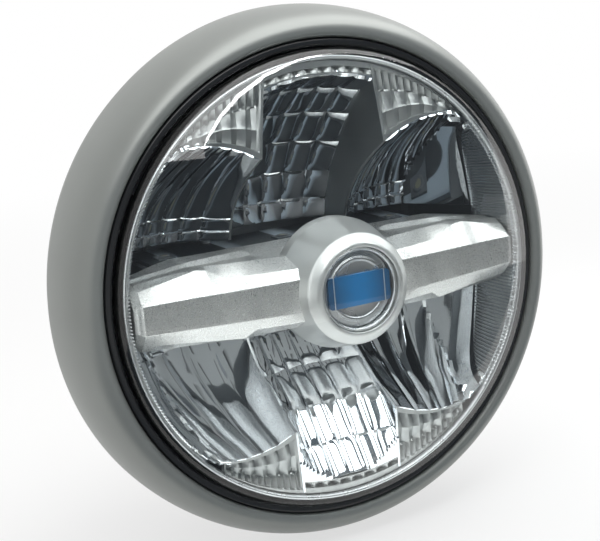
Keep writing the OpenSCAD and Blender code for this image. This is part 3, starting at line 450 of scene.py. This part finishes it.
def side_depth(x, z, axis_x, arch_r, deepest=53.0, wall_slope=1.9):
    """Depth of a side bowl, a paraboloid about its lamp cut by the smooth outer wall, and where it is bowl."""
    bowl = DECK + (deepest - DECK) * (1 - ((x - axis_x) ** 2 + (z - BOWL_Z) ** 2) / arch_r ** 2)
    edge = flute_edge_depth(z)
    wall = edge + wall_slope * (cone_x(z, edge) - WALL_GAP - x)
    return np.maximum(np.minimum(bowl, wall), DECK), bowl < wall


def side_bowl(axis_x, arch_r, left_x, row_heights, columns, bulge):
    """Facets of one side bowl: columns from the divider to the outer wall, rows from the bar to the arch."""
    u, su = cells(np.linspace(0, 1, columns + 1) ** 0.9, 10)
    top0 = arch_top(axis_x, axis_x, arch_r)
    v, sv = cells([0] + [(h - FLOOR_Z) / (top0 - FLOOR_Z) for h in row_heights] + [1], 14)
    u, v = u[:, None], v[None, :]
    z_top = np.full_like(u, 50.0)
    for _ in range(40):
        x_top = left_x + u * (cone_x(z_top, flute_edge_depth(z_top)) - WALL_GAP - left_x)
        z_top = 0.5 * z_top + 0.5 * np.minimum(arch_top(x_top, axis_x, arch_r),
                                               np.sqrt(np.maximum(RING_R ** 2 - x_top ** 2, 0)))
    z = FLOOR_Z + (z_top - FLOOR_Z) * v
    x = left_x + u * (cone_x(z, flute_edge_depth(z)) - WALL_GAP - left_x)
    depth, is_bowl = side_depth(x, z, axis_x, arch_r)
    return raised(np.stack([x, z, depth], -1), cushion(su, sv, 1.3 * bulge, 0.7 * bulge, is_bowl))


def raised(base, height):
    """The grid moved forward along its normals by a height for each of its points."""
    n = normals(base)
    n = np.where(n[..., 2:] < 0, n, -n)
    return base + height[..., None] * n


def cushion(su, sv, across, along, where):
    """Height of each facet's cushion: across * (1 - |2s - 1| cubed) over its width, plus along *
    (1 - |2t - 1| to the sixth) over its row, so that it is flat in the middle and falls off at its creases."""
    return (across * (1 - np.abs(2 * su - 1) ** 3)[:, None]
            + along * (1 - np.abs(2 * sv - 1) ** 6)[None, :]) * where


def middle_half(z, half_w, top_half_w):
    """Half width of the middle bowl: straight beside the lamps, drawn in towards its arch."""
    return np.interp(z, [0, 49, 77, 90], [half_w, half_w, top_half_w, top_half_w])


def middle_depth(x, z, rows, depths, sag, arch):
    """Depth of the middle bowl: a broken line over its rows, which bend with arch, less x squared over sag."""
    return np.interp(z + arch * x ** 2, list(rows) + [RING_R + 9], list(depths) + [DECK]) - x ** 2 / sag


def middle_bowl(rows, depths, sag, half_w, top_half_w, columns, bulge, arch=0.0):
    """Facets of the middle bowl: rows are straight between creases, and the depth falls with x squared."""
    u, su = cells(np.linspace(-1, 1, columns + 1), 12)
    full = RING_R - FLOOR_Z
    v, sv = cells([(r - FLOOR_Z) / full for r in rows], 12)
    u, v = u[:, None], v[None, :]
    z = FLOOR_Z + full * np.broadcast_to(v, (u.size, v.size))
    for _ in range(12):
        x = u * middle_half(z, half_w, top_half_w)
        z = FLOOR_Z + v * (np.sqrt(RING_R ** 2 - x ** 2) - FLOOR_Z)
    depth = middle_depth(x, z, rows, depths, sag, arch)
    is_bowl = depth > DECK + 0.2
    return raised(np.stack([x, z, np.maximum(depth, DECK)], -1),
                  cushion(su, sv, 1.2 * bulge, 0.55 * bulge, is_bowl))


def arch_band(top_row, half_w, top_half_w):
    """Flat crescent between the middle bowl's arch and the ring, with a row of eight prism cells along the
    arch, whose depth is a saw-tooth across each cell."""
    creases = [0.12, 0.55]
    u, su = cells(np.linspace(-1, 1, 9), 10)
    v, sv = cells([0, *creases, 1], 8)
    start = (top_row - FLOOR_Z) / (RING_R - FLOOR_Z)
    u, v = u[:, None], v[None, :]
    z = np.full((u.size, v.size), top_row)
    for _ in range(12):
        x = u * middle_half(z, half_w, top_half_w)
        z = FLOOR_Z + (start + (1 - start) * v) * (np.sqrt(RING_R ** 2 - x ** 2) - FLOOR_Z)
    row = np.digitize(v, creases)
    saw = (1 - np.abs(2 * su - 1))[:, None] * (0.3 + 0.7 * sv[None, :])
    return np.stack([x, z, DECK + np.where(row == 1, 2.4 * saw + 0.3, 0.0)], -1)


def corner_pocket(axis_x, arch_r, half_w, top_half_w):
    """Between a side bowl's arch and the ring: three rows of prism cells, whose depth is a saw-tooth across
    each cell, between a flat strip along the arch and one along the ring."""
    creases = [0.1, 0.4, 0.68, 0.95]
    u, su = cells(np.linspace(0, 1, 7), 10)
    _, fine = cells(np.linspace(0, 1, 13), 5)
    v, sv = cells([0, *creases, 1], 10)
    u, v = u[:, None], v[None, :]
    z = np.full((u.size, v.size), 60.0)
    right = axis_x + 8
    for _ in range(16):
        left = middle_half(z, half_w, top_half_w) + 0.03
        x = left + u * (right - left)
        high = np.sqrt(RING_R ** 2 - x ** 2)
        low = np.minimum(arch_top(x, axis_x, arch_r), high - 0.4)
        z = low + v * (high - low)
    saw = 1 - np.abs(2 * su - 1)[:, None]
    spikes = 1 - np.abs(2 * fine - 1)[:, None]
    row = np.digitize(v, creases)
    hollow = np.select([row == 1, row == 2, row == 3], [
        1.8 * saw * (1 - 0.6 * sv[None, :]) + 0.3, 2.4 * saw * (0.4 + 0.6 * sv[None, :]) + 0.4,
        2.0 * spikes * (1 - 0.5 * sv[None, :]) + 0.3], 0.0)
    edge = np.minimum(np.minimum(u, 1 - u) * 30, 1)
    return np.stack([x, z, DECK + hollow * edge], -1)


def divider(inner, outer, half_w, top_half_w, top_z):
    """Flat side of the middle bowl: a strip at the bowl's edge between two depths, for each height. The depths
    are kept 0.3 mm apart, so that the strip never closes up."""
    z = np.linspace(FLOOR_Z, top_z, 90)[:, None]
    t = np.linspace(0, 1, 4)[None, :]
    a, b = inner(z), outer(z)
    b = np.where(b > a, np.maximum(b, a + 0.3), np.minimum(b, a - 0.3))
    return np.stack(np.broadcast_arrays(middle_half(z, half_w, top_half_w), z, a + (b - a) * t), -1)


def mirrored(part):
    """The same part on the left."""
    points, quads = part
    return points * [-1, 1, 1], quads[:, ::-1]


def reflector(side, rows, depths, sag, half_w, top_half_w, axis_x, arch_r, side_rows, arch, bulge,
              side_columns, side_bulge):
    """Mirror panels and frosted panels of one reflector; side is 1 above the bar and -1 below it, where the
    dividers are mirrors too."""
    wall = 1.3

    def mid_edge(z):
        x = middle_half(z, half_w, top_half_w)
        return np.maximum(middle_depth(x, z, rows, depths, sag, arch), DECK)

    def outer_edge(z):
        x = middle_half(z, half_w, top_half_w)
        bowl = side_depth(x, z, axis_x, arch_r)[0]
        return np.where(z < arch_top(x, axis_x, arch_r), bowl, DECK)

    facets = [panel(middle_bowl(rows, depths, sag, half_w, top_half_w, 6, bulge, arch), wall)]
    made = panel(side_bowl(axis_x, arch_r, half_w, side_rows, side_columns, side_bulge), wall)
    facets += [made, mirrored(made)]
    frosted = [panel(arch_band(rows[-1], half_w, top_half_w), wall)]
    made = panel(corner_pocket(axis_x, arch_r, half_w, top_half_w), wall)
    frosted += [made, mirrored(made)]
    made = panel(divider(mid_edge, outer_edge, half_w, top_half_w, 77.0), 0.9)
    (frosted if side > 0 else facets).extend([made, mirrored(made)])
    return [[(p * [1, side, 1], q[:, ::-1] if side < 0 else q) for p, q in group]
            for group in (facets, frosted)]


def flutes(pitch):
    """Fluted panel on the right: ridges that run from front to back, with the height |sin| across each one."""
    count = int(104 / pitch)
    z = np.linspace(-53, 51, count * 8 + 1)[:, None]
    t = np.linspace(0, 1, 9)[None, :]
    depth = 1.6 + (np.maximum(flute_edge_depth(z) - 1.6, 0.3)) * t
    fan = z * (1 - 0.045 * t)
    ridge = 0.75 * np.abs(np.sin(np.pi * z / pitch)) * np.minimum(1, 6 * (1.02 - t))
    return np.stack([cone_x(fan, depth) - ridge, fan, depth], -1)


def bar_body():
    """The crossbar: one section, from the upper rear edge round the front to the lower one, carried along x.
    Each of its points follows its own broken line of height and depth."""
    x = np.array([0, 21, 28, 31, 36.4, 40.4, 45.1, 50.6, 52, 55, 62, 70, 75.6, 78.4])
    height = [
        np.interp(x, [0, 21, 55, 78.4], [13.9, 13.9, 14.2, 10.8]),
        np.interp(x, [0, 28, 31, 52, 55, 78.4], [13.8, 13.9, 15, 15, 14.6, 11.3]),
        np.interp(x, [0, 28, 55, 78.4], [13.2, 13.2, 13.6, 10.6]),
        np.interp(x, [0, 21, 55, 78.4], [13.4, 13.4, 14.3, 11.0]),
        np.interp(x, [0, 21, 45.1, 50.6, 55, 75.6, 78.4], [9.9, 9.9, 9.7, 13.2, 14.2, 9.4, 8.4]),
        np.interp(x, [0, 21, 75.6, 78.4], [6.2, 6.2, 5.0, 4.2]),
        np.interp(x, [0, 21, 75.6, 78.4], [-5.7, -5.7, -5.3, -4.4]),
        np.interp(x, [0, 21, 36.4, 40.4, 75.6, 78.4], [-9.3, -9.3, -9.6, -12.4, -9.8, -8.6]),
        np.interp(x, [0, 21, 40.4, 75.6, 78.4], [-12.6, -12.6, -13, -12.5, -11]),
        np.interp(x, [0, 78.4], [-13, -11]),
    ]
    face = np.interp(x, [0, 21, 75.6, 78.4], [-11, -11, -1.5, 1.2])
    depth = [
        np.interp(x, [0, 60, 78.4], [28, 26, 19]),
        np.interp(x, [0, 28, 31, 52, 78.4], [15.5, 15.5, 14.5, 12.0, 14.5]),
        np.interp(x, [0, 28, 31, 52, 78.4], [12.5, 12.5, 11.5, 9.2, 11.5]),
        np.interp(x, [0, 21, 45.1, 50.6, 55, 75.6, 78.4], [-0.8, -0.8, 2.5, 3.8, 1.8, 7.2, 9]),
        np.interp(x, [0, 21, 45.1, 50.6, 55, 75.6, 78.4], [-8.8, -8.8, -2.5, 0.5, -0.6, 3.0, 6]),
        face,
        face,
        np.interp(x, [0, 21, 36.4, 40.4, 75.6, 78.4], [-10.2, -10.2, -6.2, -4.6, 2.6, 5]),
        np.interp(x, [0, 21, 40.4, 75.6, 78.4], [-4, -4, -2, 6, 8]),
        np.interp(x, [0, 60, 78.4], [28, 26, 19]),
    ]
    height, depth = np.array(height).T, np.array(depth).T
    half = np.stack([np.broadcast_to(x[:, None], height.shape), height, depth], -1)
    whole = np.concatenate([half[:0:-1] * [-1, 1, 1], half])
    limit = cone_x(whole[..., 1], whole[..., 2]) - WALL_GAP
    whole[..., 0] = np.clip(whole[..., 0], -limit, limit)
    nu = len(whole)
    ring = height.shape[1]
    quads = grid_quads(nu, ring, wrap_v=True)
    ends = np.array([[0, 1, 2, 3], [0, 3, 4, 9], [4, 5, 8, 9], [5, 6, 7, 8]])
    return whole, np.concatenate([quads, ends, ends[:, ::-1] + (nu - 1) * ring])


def soften(made, width_mm, segments=3, angle=18.0):
    """Rounds the edges of a piece with a live bevel."""
    bevel = made.modifiers.new("Rounded edges", "BEVEL")
    bevel.width = width_mm / 1000
    bevel.segments = segments
    bevel.limit_method = "ANGLE"
    bevel.angle_limit = math.radians(angle)
    bevel.harden_normals = False
    return made


# Operators, one for each group of pieces


class LAMP_OT_rim(bpy.types.Operator):
    """Builds the painted rim and its rubber gasket"""

    bl_idname = "lamp.rim"
    bl_label = "Rim and gasket"

    def execute(self, context):
        crest, rim_r, widest, wall = 91.5, 101.6, 25.5, 2.4

        def quarter(radius, front):
            """Quarter of an ellipse, from the crest at the depth front to that radius at the widest place."""
            t = np.linspace(0, math.pi / 2, 40)
            return np.stack([crest + (radius - crest) * np.sin(t), front + (widest - front) * (1 - np.cos(t))],
                            -1)

        outer = quarter(rim_r, -1.0)
        inner = quarter(rim_r - wall, wall - 1.0)
        t = np.linspace(0, math.pi / 2, 10)
        lip = np.stack([crest - 2.5 * np.cos(t), 1.5 - 2.5 * np.sin(t)], -1)
        tail = rounded([[101.5, 26, 0], [99.7, 32.8, 0.5], [98.6, 33, 0.3], [97.3, 32.9, 0.4],
                        [97.3, 31.6, 0.3], [99.0, 26, 0]], 4)
        profile = np.concatenate([[[89, 4.2]], lip[:-1], outer[1:], tail[4:-4], inner[::-1], [[91.5, 4.2]]])
        finish_mesh("rim_shell", [turned(profile, 256)], finish("paint"), sharp=40)
        bead = rounded([[85.75, 1.2, 0.5], [86.4, 0.35, 0.6], [88.2, 0.35, 0.5], [88.85, 1.4, 0.5],
                        [88.85, 4.3, 0.1], [91, 4.3, 0.1], [91, 5.8, 0.1], [85.75, 5.8, 0.1]])
        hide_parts("rim")
        finish_mesh("gasket_bead", [turned(bead, 192)], finish("rubber"), ["rim_gasket"], 40)
        return {"FINISHED"}


class LAMP_OT_lens(bpy.types.Operator):
    """Builds the domed clear lens"""

    bl_idname = "lamp.lens"
    bl_label = "Lens"

    def execute(self, context):
        lens_r, dome, shoulder, crown, wall, count = 85.6, 178.0, 5.0, 24.5, 2.8, 192
        join = math.asin((lens_r - shoulder) / (dome - shoulder))
        centre = dome - crown
        corner = centre - (dome - shoulder) * math.cos(join)

        def curve(w):
            """Profile of the dome and its shoulder, w mm inside the outer face."""
            a = np.linspace(0.0005, join, 70)
            b = np.linspace(join, math.pi / 2, 22)[1:]
            return np.concatenate([
                np.stack([(dome - w) * np.sin(a), centre - (dome - w) * np.cos(a)], -1),
                np.stack([lens_r - shoulder + (shoulder - w) * np.sin(b),
                          corner - (shoulder - w) * np.cos(b)], -1)])

        skirt = np.array([[lens_r, 4], [lens_r, 8], [lens_r, 11.9], [lens_r - 0.3, 12.2],
                          [lens_r - wall + 0.3, 12.2], [lens_r - wall, 11.9], [lens_r - wall, 8],
                          [lens_r - wall, 4]])
        profile = np.concatenate([curve(0.0), skirt, curve(wall)[::-1]])
        n = len(profile)
        poles = [[0, 0, -crown], [0, 0, wall - crown]]
        points = np.concatenate([turned(profile, count)[0].reshape(-1, 3), poles])
        ring = np.arange(count) * n
        nxt = np.roll(ring, -1)
        pole = np.full(count, count * n)
        caps = np.concatenate([np.stack([pole, ring, nxt], -1),
                               np.stack([pole + 1, nxt + n - 1, ring + n - 1], -1)])
        add_lens(points, grid_quads(count, n, wrap_u=True), caps)
        return {"FINISHED"}


def add_lens(points, quads, caps):
    """The lens from its quads and the triangles that close its two poles."""
    co = np.stack([points[:, 0], points[:, 2] - FACE, points[:, 1]], -1) / 1000
    mesh = bpy.data.meshes.new("lens_dome")
    mesh.from_pydata(co.tolist(), [], quads.tolist() + caps.tolist())
    bm = bmesh.new()
    bm.from_mesh(mesh)
    bmesh.ops.recalc_face_normals(bm, faces=bm.faces)
    bm.to_mesh(mesh)
    bm.free()
    mesh.shade_smooth()
    mesh.set_sharp_from_angle(angle=math.radians(50))
    mesh.materials.append(finish("clear"))
    made = bpy.data.objects.new("lens_dome", mesh)
    bpy.context.collection.objects.link(made)
    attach(made, "root")
    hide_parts("lens")


class LAMP_OT_trim(bpy.types.Operator):
    """Builds the beaded trim ring and the fluted side panels"""

    bl_idname = "lamp.trim"
    bl_label = "Trim and flutes"

    def execute(self, context):
        pitch = context.scene.lamp_settings.flute_pitch * 1000
        profile = rounded([[80.4, 0.5, 0.4], [81.1, -0.4, 0.4], [81.9, -0.4, 0.4], [82.4, 0.4, 0.4],
                           [82.4, 13.5, 0.1], [80.7, 13.5, 0.1], [80.7, 2.2, 0.1], [80.4, 1.6, 0.1]], 4)

        def beads(a, p):
            z = 80.4 * np.sin(a)
            near = (p[:, 0] < 81.0) & (p[:, 1] < 1.8)
            return -0.3 * np.abs(np.sin(np.pi * z / pitch)) * (np.abs(z) < 53) * near

        finish_mesh("trim_beaded_ring", [turned(profile, 1440, beads)], finish("trim"),
                    ["trim_ring"], 40)
        right = panel(flutes(pitch), 0.8)
        finish_mesh("flutes_right", [right], finish("flutes"), ["right_flutes"], 40)
        finish_mesh("flutes_left", [mirrored(right)], finish("flutes"), ["left_flutes"], 40)
        return {"FINISHED"}


class LAMP_OT_reflectors(bpy.types.Operator):
    """Builds the faceted upper and lower reflectors"""

    bl_idname = "lamp.reflectors"
    bl_label = "Reflectors"

    def execute(self, context):
        bulge = context.scene.lamp_settings.facet_bulge * 1000
        rows, deepest, sag = [FLOOR_Z, 24, 36, 49, 61, 70.5, 75.5], 62.5, 76.7
        depths = [deepest - (r - BOWL_Z) ** 2 / sag for r in rows[:-1]] + [2.2]
        upper = reflector(1, rows, depths, sag, half_w=25.6, top_half_w=22.1, axis_x=50.0, arch_r=44.0,
                          side_rows=[20, 26], arch=0.004, bulge=bulge, side_columns=7, side_bulge=bulge)
        lower = reflector(-1, [FLOOR_Z, 28, 39.6, 50, 64, 75.5], [57, 47, 34, 21, 11, 2.6], 55.0, half_w=22.0,
                          top_half_w=21.0, axis_x=43.2, arch_r=46.6, side_rows=[26], arch=0.0, bulge=bulge,
                          side_columns=5, side_bulge=0.8 * bulge)
        for name, (facets, frosted) in (("upper", upper), ("lower", lower)):
            node = name + "_reflector"
            finish_mesh("reflector_" + name, facets, finish("mirror"), [node], 9)
            finish_mesh("pockets_" + name, frosted, finish("frosted"), [node], 9)
        return {"FINISHED"}


class LAMP_OT_crossbar(bpy.types.Operator):
    """Builds the crossbar and its hub"""

    bl_idname = "lamp.crossbar"
    bl_label = "Crossbar and hub"

    def execute(self, context):
        bar = finish_mesh("crossbar_body", [bar_body()], finish("satin"), ["crossbar"], 25)
        soften(bar, 0.5, 3)
        drum = rounded([[2, HUB_FACE + 3, 0.1], [15.3, HUB_FACE + 3, 0.1], [15.3, HUB_FACE - 0.02, 0.1],
                        [20.3, HUB_FACE - 0.02, 0.15], [24.3, -1, 0.3], [24.3, 4, 0.2], [2, 4, 0.1]], 5)
        finish_mesh("hub_drum", [turned(drum, 160)], finish("hub"), ["crossbar"], 35)
        ring = rounded([[15.35, HUB_FACE, 0.1], [15.35, -17.9, 0.25], [15.9, -18.1, 0.3], [17.0, -17.9, 0.8],
                        [20.2, -15.5, 1.0], [20.45, HUB_FACE, 0.3]], 6)
        finish_mesh("hub_bezel", [turned(ring, 160)], finish("hub"), ["hub_ring"], 40)
        return {"FINISHED"}


class LAMP_OT_badge(bpy.types.Operator):
    """Builds the bright ring and the turned disc of the bare badge; its plate keeps the solid's own mesh"""

    bl_idname = "lamp.badge"
    bl_label = "Badge"

    def execute(self, context):
        ring = rounded([[13.8, HUB_FACE - 0.3, 0.05], [13.8, -16.6, 0.3], [14.5, -17.3, 0.35],
                        [15.25, -16.9, 0.3], [15.25, HUB_FACE - 0.3, 0.05]], 5)
        finish_mesh("badge_bright_ring", [turned(ring, 128)], finish("trim"), ["badge_ring"], 40)
        steps = [[0.05, -15.6, 0], [5, -15.6, 0.3], [5.4, -15.2, 0.3], [10.2, -15.2, 0.3], [10.5, -15.5, 0.3],
                 [11.4, -15.5, 0.3], [11.7, -15.1, 0.3], [13.7, -15.0, 0.3], [13.7, -11.7, 0.1],
                 [0.05, -11.7, 0]]
        finish_mesh("badge_turned_disc", [turned(rounded(steps, 4), 128)], finish("trim"),
                    ["badge_disc"], 40)
        return {"FINISHED"}


class LAMP_OT_solid_parts(bpy.types.Operator):
    """Gives every node that keeps its own mesh its finish"""

    bl_idname = "lamp.solid_parts"
    bl_label = "Housing, boards and fasteners"

    def execute(self, context):
        finishes = {
            "rim_screws": "zinc", "lens_seal": "rubber", "reflector_screws": "zinc", "crossbar_screws": "zinc",
            "badge_plate": "badge", "led_carrier": "cast", "upper_led_board": "upper_board",
            "lower_led_board": "lower_board", "upper_leds": "upper_led", "lower_leds": "lower_led",
            "board_screws": "zinc", "rear_housing": "housing", "mount_inserts": "brass",
            "thermal_pad": "pad", "heat_sink": "cast", "heat_sink_seal": "rubber",
            "heat_sink_screws": "zinc", "carrier_screws": "zinc", "driver_board": "green",
            "driver_parts": "moulded", "driver_screws": "zinc", "socket_body": "housing",
            "socket_pins": "brass", "socket_seal": "rubber", "socket_screws": "zinc", "vent_cap": "housing",
        }
        for name, key in finishes.items():
            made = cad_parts[name]
            made.data.materials.clear()
            made.data.materials.append(finish(key))
        return {"FINISHED"}


class LAMP_OT_stage(bpy.types.Operator):
    """Sets the floor, the light tents, the strip light, the world and the camera"""

    bl_idname = "lamp.stage"
    bl_label = "Stage and camera"

    def execute(self, context):
        low, half = CAD_BOX[0].z - 0.0005, 14.0
        mesh = bpy.data.meshes.new("floor")
        mesh.from_pydata([(-half, -half, low), (half, -half, low), (half, half, low), (-half, half, low)], [],
                         [(0, 1, 2, 3)])
        floor = bpy.data.objects.new("floor", mesh)
        context.collection.objects.link(floor)
        floor.data.materials.append(pale_floor())
        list(light_tent())
        strip_light()
        pale_world(context.scene)
        make_camera(context.scene)
        context.scene.view_settings.view_transform = "Standard"
        return {"FINISHED"}


def seen_rays(tree):
    """The light path, and a share of 1 for rays of the camera, of mirrors and of glass."""
    path = add(tree, "ShaderNodeLightPath")
    seen = maths(tree, "MAXIMUM", path.outputs["Is Camera Ray"], path.outputs["Is Glossy Ray"])
    seen = maths(tree, "MAXIMUM", seen, path.outputs["Is Transmission Ray"])
    return path, seen


def pale_floor():
    """Matt white floor. Near the lamp the camera and mirrors see a third of it lit, which shows the shadow,
    and far off plain white. For rays that have passed the lens its glow is 3.4 near the lamp and 0.5 away
    from it: that matches the picture's contrast, but it is more than plain light."""
    material, tree = new_material("Matt white floor")
    path, seen = seen_rays(tree)
    lit = add(tree, "ShaderNodeBsdfDiffuse", {"Color": linear("#e9e9e8")})
    place = add(tree, "ShaderNodeTexCoord").outputs["Object"]
    far = add(tree, "ShaderNodeVectorMath", {0: place}, operation="LENGTH")
    near = add(tree, "ShaderNodeMapRange", {"Value": far.outputs["Value"], "From Min": 0.12, "From Max": 0.3,
                                            "To Min": 3.4, "To Max": 0.5})
    level = add(tree, "ShaderNodeMix", {0: path.outputs["Is Transmission Ray"], 2: 1.0, 3: near.outputs[0]})
    glow = add(tree, "ShaderNodeEmission", {"Color": (1, 1, 1, 1), "Strength": level.outputs[0]})
    fade = add(tree, "ShaderNodeMapRange", {"Value": far.outputs["Value"], "From Min": 0.15, "From Max": 1.1,
                                            "To Min": 0.66, "To Max": 1.0})
    share = maths(tree, "MULTIPLY", seen, fade.outputs[0])
    mix = add(tree, "ShaderNodeMixShader", {0: share, 1: lit.outputs[0], 2: glow.outputs[0]})
    return with_output(material, tree, mix)


def pale_world(scene):
    """World: white behind the lamp, and an even pale light."""
    world = bpy.data.worlds.new("Pale room")
    scene.world = world
    world.use_nodes = True
    tree = world.node_tree
    tree.nodes.clear()
    seen = seen_rays(tree)[1]
    level = add(tree, "ShaderNodeMapRange", {"Value": seen, "To Min": 0.95, "To Max": 1.0})
    back = add(tree, "ShaderNodeBackground", {"Color": linear("#ffffff"), "Strength": level.outputs[0]})
    add(tree, "ShaderNodeOutputWorld", {"Surface": back.outputs[0]})


def direction(az, el):
    """Unit vector (x, y, z) of a direction seen from the lamp: az from straight ahead to the right, el up."""
    az, el = np.radians(az), np.radians(el)
    return np.stack([np.sin(az) * np.cos(el), -np.cos(az) * np.cos(el), np.sin(el)], -1)


def glow_material(name, hex_colour, strength):
    """A plain lit panel."""
    material, tree = new_material(name)
    lamp = add(tree, "ShaderNodeEmission", {"Color": linear(hex_colour), "Strength": strength})
    return with_output(material, tree, lamp)


def cloth_dome(name, radius, edge_az, edge_el, left, cloths, seam=0.0):
    """Part of a dome in front of the lamp that the camera looks through: dark cloth below the broken line
    edge_az and edge_el, softboxes above it and left of the angle left, grey cloth low down and pale cloth at
    the right. The five strengths in cloths are for dark, softbox, left softbox, pale and grey cloth. With a
    seam width in degrees, every fourth strip of the softboxes is dark, as between lamps side by side."""
    az = np.linspace(-110, 110, 111)
    el = np.linspace(-12, 90, 52)
    a, e = np.meshgrid(az, el, indexing="ij")
    mesh = bpy.data.meshes.new(name)
    mesh.from_pydata((direction(a, e) * radius).reshape(-1, 3), [], grid_quads(len(az), len(el)))
    mid_a = (a[:-1, :-1] + a[1:, 1:]).ravel() / 2
    mid_e = (e[:-1, :-1] + e[1:, 1:]).ravel() / 2
    cloth = np.select([mid_a < left, mid_e > np.interp(mid_a, edge_az, edge_el), mid_a > 72, mid_e < -1],
                      [2, 1, 3, 4], 0)
    if seam:
        cloth = np.where((cloth < 3) & (np.floor(mid_a / seam) % 4 == 3), 0, cloth)
    for kind, colour, strength in zip(("Dark cloth", "Softbox cloth", "Left softbox cloth", "Pale cloth",
                                       "Grey cloth"), ("#6b7278", "#ffffff", "#ffffff", "#ffffff", "#b0b4b6"),
                                      cloths):
        mesh.materials.append(glow_material(kind + " of the " + name.replace("_", " "), colour, strength))
    mesh.polygons.foreach_set("material_index", cloth.astype(np.int32))
    dome = bpy.data.objects.new(name, mesh)
    bpy.context.collection.objects.link(dome)
    dome.visible_camera = False
    return dome


def light_tent():
    """Two light tents about 0.47 m away. Rays that have passed the lens see the inner one, and all others the
    outer one. No real set-up does this: it matches the picture's contrast. The main softboxes of both are
    brighter than plain light. A dark sheet on the floor in front is for reflections only."""
    tent = cloth_dome("outer_tent", 0.47,
                      [-42, -41, -18, -14.7, -9.8, -2.6, 7.6, 21.4, 34.8, 44.9, 54.3, 60, 110],
                      [-13, 27, 27, 32.7, 37.8, 42.3, 45.7, 47.5, 46.8, 44.7, 41.8, 39, 36], -40,
                      (1.6, 3.5, 0.8, 1.6, 1.0))
    tent.visible_transmission = False
    inner = cloth_dome("inner_tent", 0.475, [-42, -18, 0, 60, 110], [14, 18, 19, 15, 12], -40,
                       (0.9, 3.5, 2.2, 1.6, 0.14), 7.0)
    inner.visible_diffuse = inner.visible_glossy = inner.visible_shadow = False
    sheet = bpy.data.meshes.new("dark_sheet")
    low = CAD_BOX[0].z
    sheet.from_pydata([(-0.3, -0.37, low), (0.5, -0.37, low), (0.5, -0.11, low), (-0.3, -0.11, low)], [],
                      [(0, 1, 2, 3)])
    sheet.materials.append(tent.data.materials[0])
    card = bpy.data.objects.new("dark_sheet", sheet)
    bpy.context.collection.objects.link(card)
    card.visible_camera = card.visible_diffuse = card.visible_transmission = card.visible_shadow = False
    return tent, inner, card


def strip_light():
    """A bent strip lamp above and in front, which the dome of the lens shows as one thin curved line."""
    count, radius, half_width, strength = 80, 0.46, 0.0036, 26.0
    az = np.array([-16, -14.7, -9.8, -2.6, 7.6, 21.4, 34.8, 44.9, 54.3, 60])
    el = np.array([31, 32.7, 37.8, 42.3, 45.7, 47.5, 46.8, 44.7, 41.8, 39])
    t = np.linspace(0, 1, len(az))
    fine = np.linspace(0, 1, count)
    path = direction(np.interp(fine, t, az), np.interp(fine, t, el)) * radius
    across = np.cross(np.gradient(path, axis=0), path)
    across /= np.linalg.norm(across, axis=1, keepdims=True)
    wide = half_width * np.sin(np.pi * np.clip(fine * 1.02, 0.03, 0.97))[:, None] ** 0.5
    points = np.stack([path - across * wide, path + across * wide], 1)
    mesh = bpy.data.meshes.new("strip_light")
    mesh.from_pydata(points.reshape(-1, 3), [], grid_quads(count, 2))
    mesh.materials.append(glow_material("Strip lamp", "#ffffff", strength))
    strip = bpy.data.objects.new("strip_light", mesh)
    bpy.context.collection.objects.link(strip)
    strip.visible_camera = strip.visible_diffuse = strip.visible_transmission = False
    return strip


def make_camera(scene):
    """Camera from the lamp's left front, a little above, as the lamp is seen in the picture. Its place was
    fitted in units of the opening's radius, and its focal length in pixels of a picture 600 wide."""
    az, el, roll = (math.radians(v) for v in (-25.83, 12.04, -5.19))
    opening_r, aim_x, aim_z, far = 89, -0.162, 0.076, 5.026
    focal_px, picture_px, sensor_mm = 1231.3, 600, 36
    back = np.array([math.sin(az) * math.cos(el), -math.cos(az) * math.cos(el), math.sin(el)])
    up = np.array([0, 0, 1.0]) - back * back[2]
    up /= np.linalg.norm(up)
    right = np.cross(up, back)
    r = math.cos(roll) * right + math.sin(roll) * up
    u = -math.sin(roll) * right + math.cos(roll) * up
    aim = np.array([aim_x * opening_r, 0, aim_z * opening_r])
    place = (aim + far * opening_r * back - [0, FACE, 0]) / 1000
    data = bpy.data.cameras.new("camera")
    data.lens, data.sensor_width, data.sensor_fit = focal_px / picture_px * sensor_mm, sensor_mm, "HORIZONTAL"
    data.clip_start = 0.01
    camera = bpy.data.objects.new("camera", data)
    m = np.eye(4)
    m[:3, 0], m[:3, 1], m[:3, 2], m[:3, 3] = r, u, back, place
    camera.matrix_world = Matrix(m)
    bpy.context.collection.objects.link(camera)
    scene.camera = camera


OPERATORS = (LAMP_OT_rim, LAMP_OT_lens, LAMP_OT_trim, LAMP_OT_reflectors, LAMP_OT_crossbar, LAMP_OT_badge,
             LAMP_OT_solid_parts, LAMP_OT_stage)


class LAMP_PT_panel(bpy.types.Panel):
    """Sizes, colours and build steps of the headlight"""

    bl_idname = "LAMP_PT_panel"
    bl_label = "Round headlight"
    bl_space_type = "VIEW_3D"
    bl_region_type = "UI"
    bl_category = "Headlight"

    def draw(self, context):
        for name in LampSettings.__annotations__:
            self.layout.prop(context.scene.lamp_settings, name)
        for operator in OPERATORS:
            self.layout.operator(operator.bl_idname)


CLASSES = (LampSettings, *OPERATORS, LAMP_PT_panel)


def register():
    for made in CLASSES:
        bpy.utils.register_class(made)
    bpy.types.Scene.lamp_settings = PointerProperty(type=LampSettings)


def unregister():
    del bpy.types.Scene.lamp_settings
    for made in reversed(CLASSES):
        bpy.utils.unregister_class(made)


def main():
    register()
    for operator in OPERATORS:
        group, name = operator.bl_idname.split(".")
        getattr(getattr(bpy.ops, group), name)()


if __name__ == "__main__":
    main()
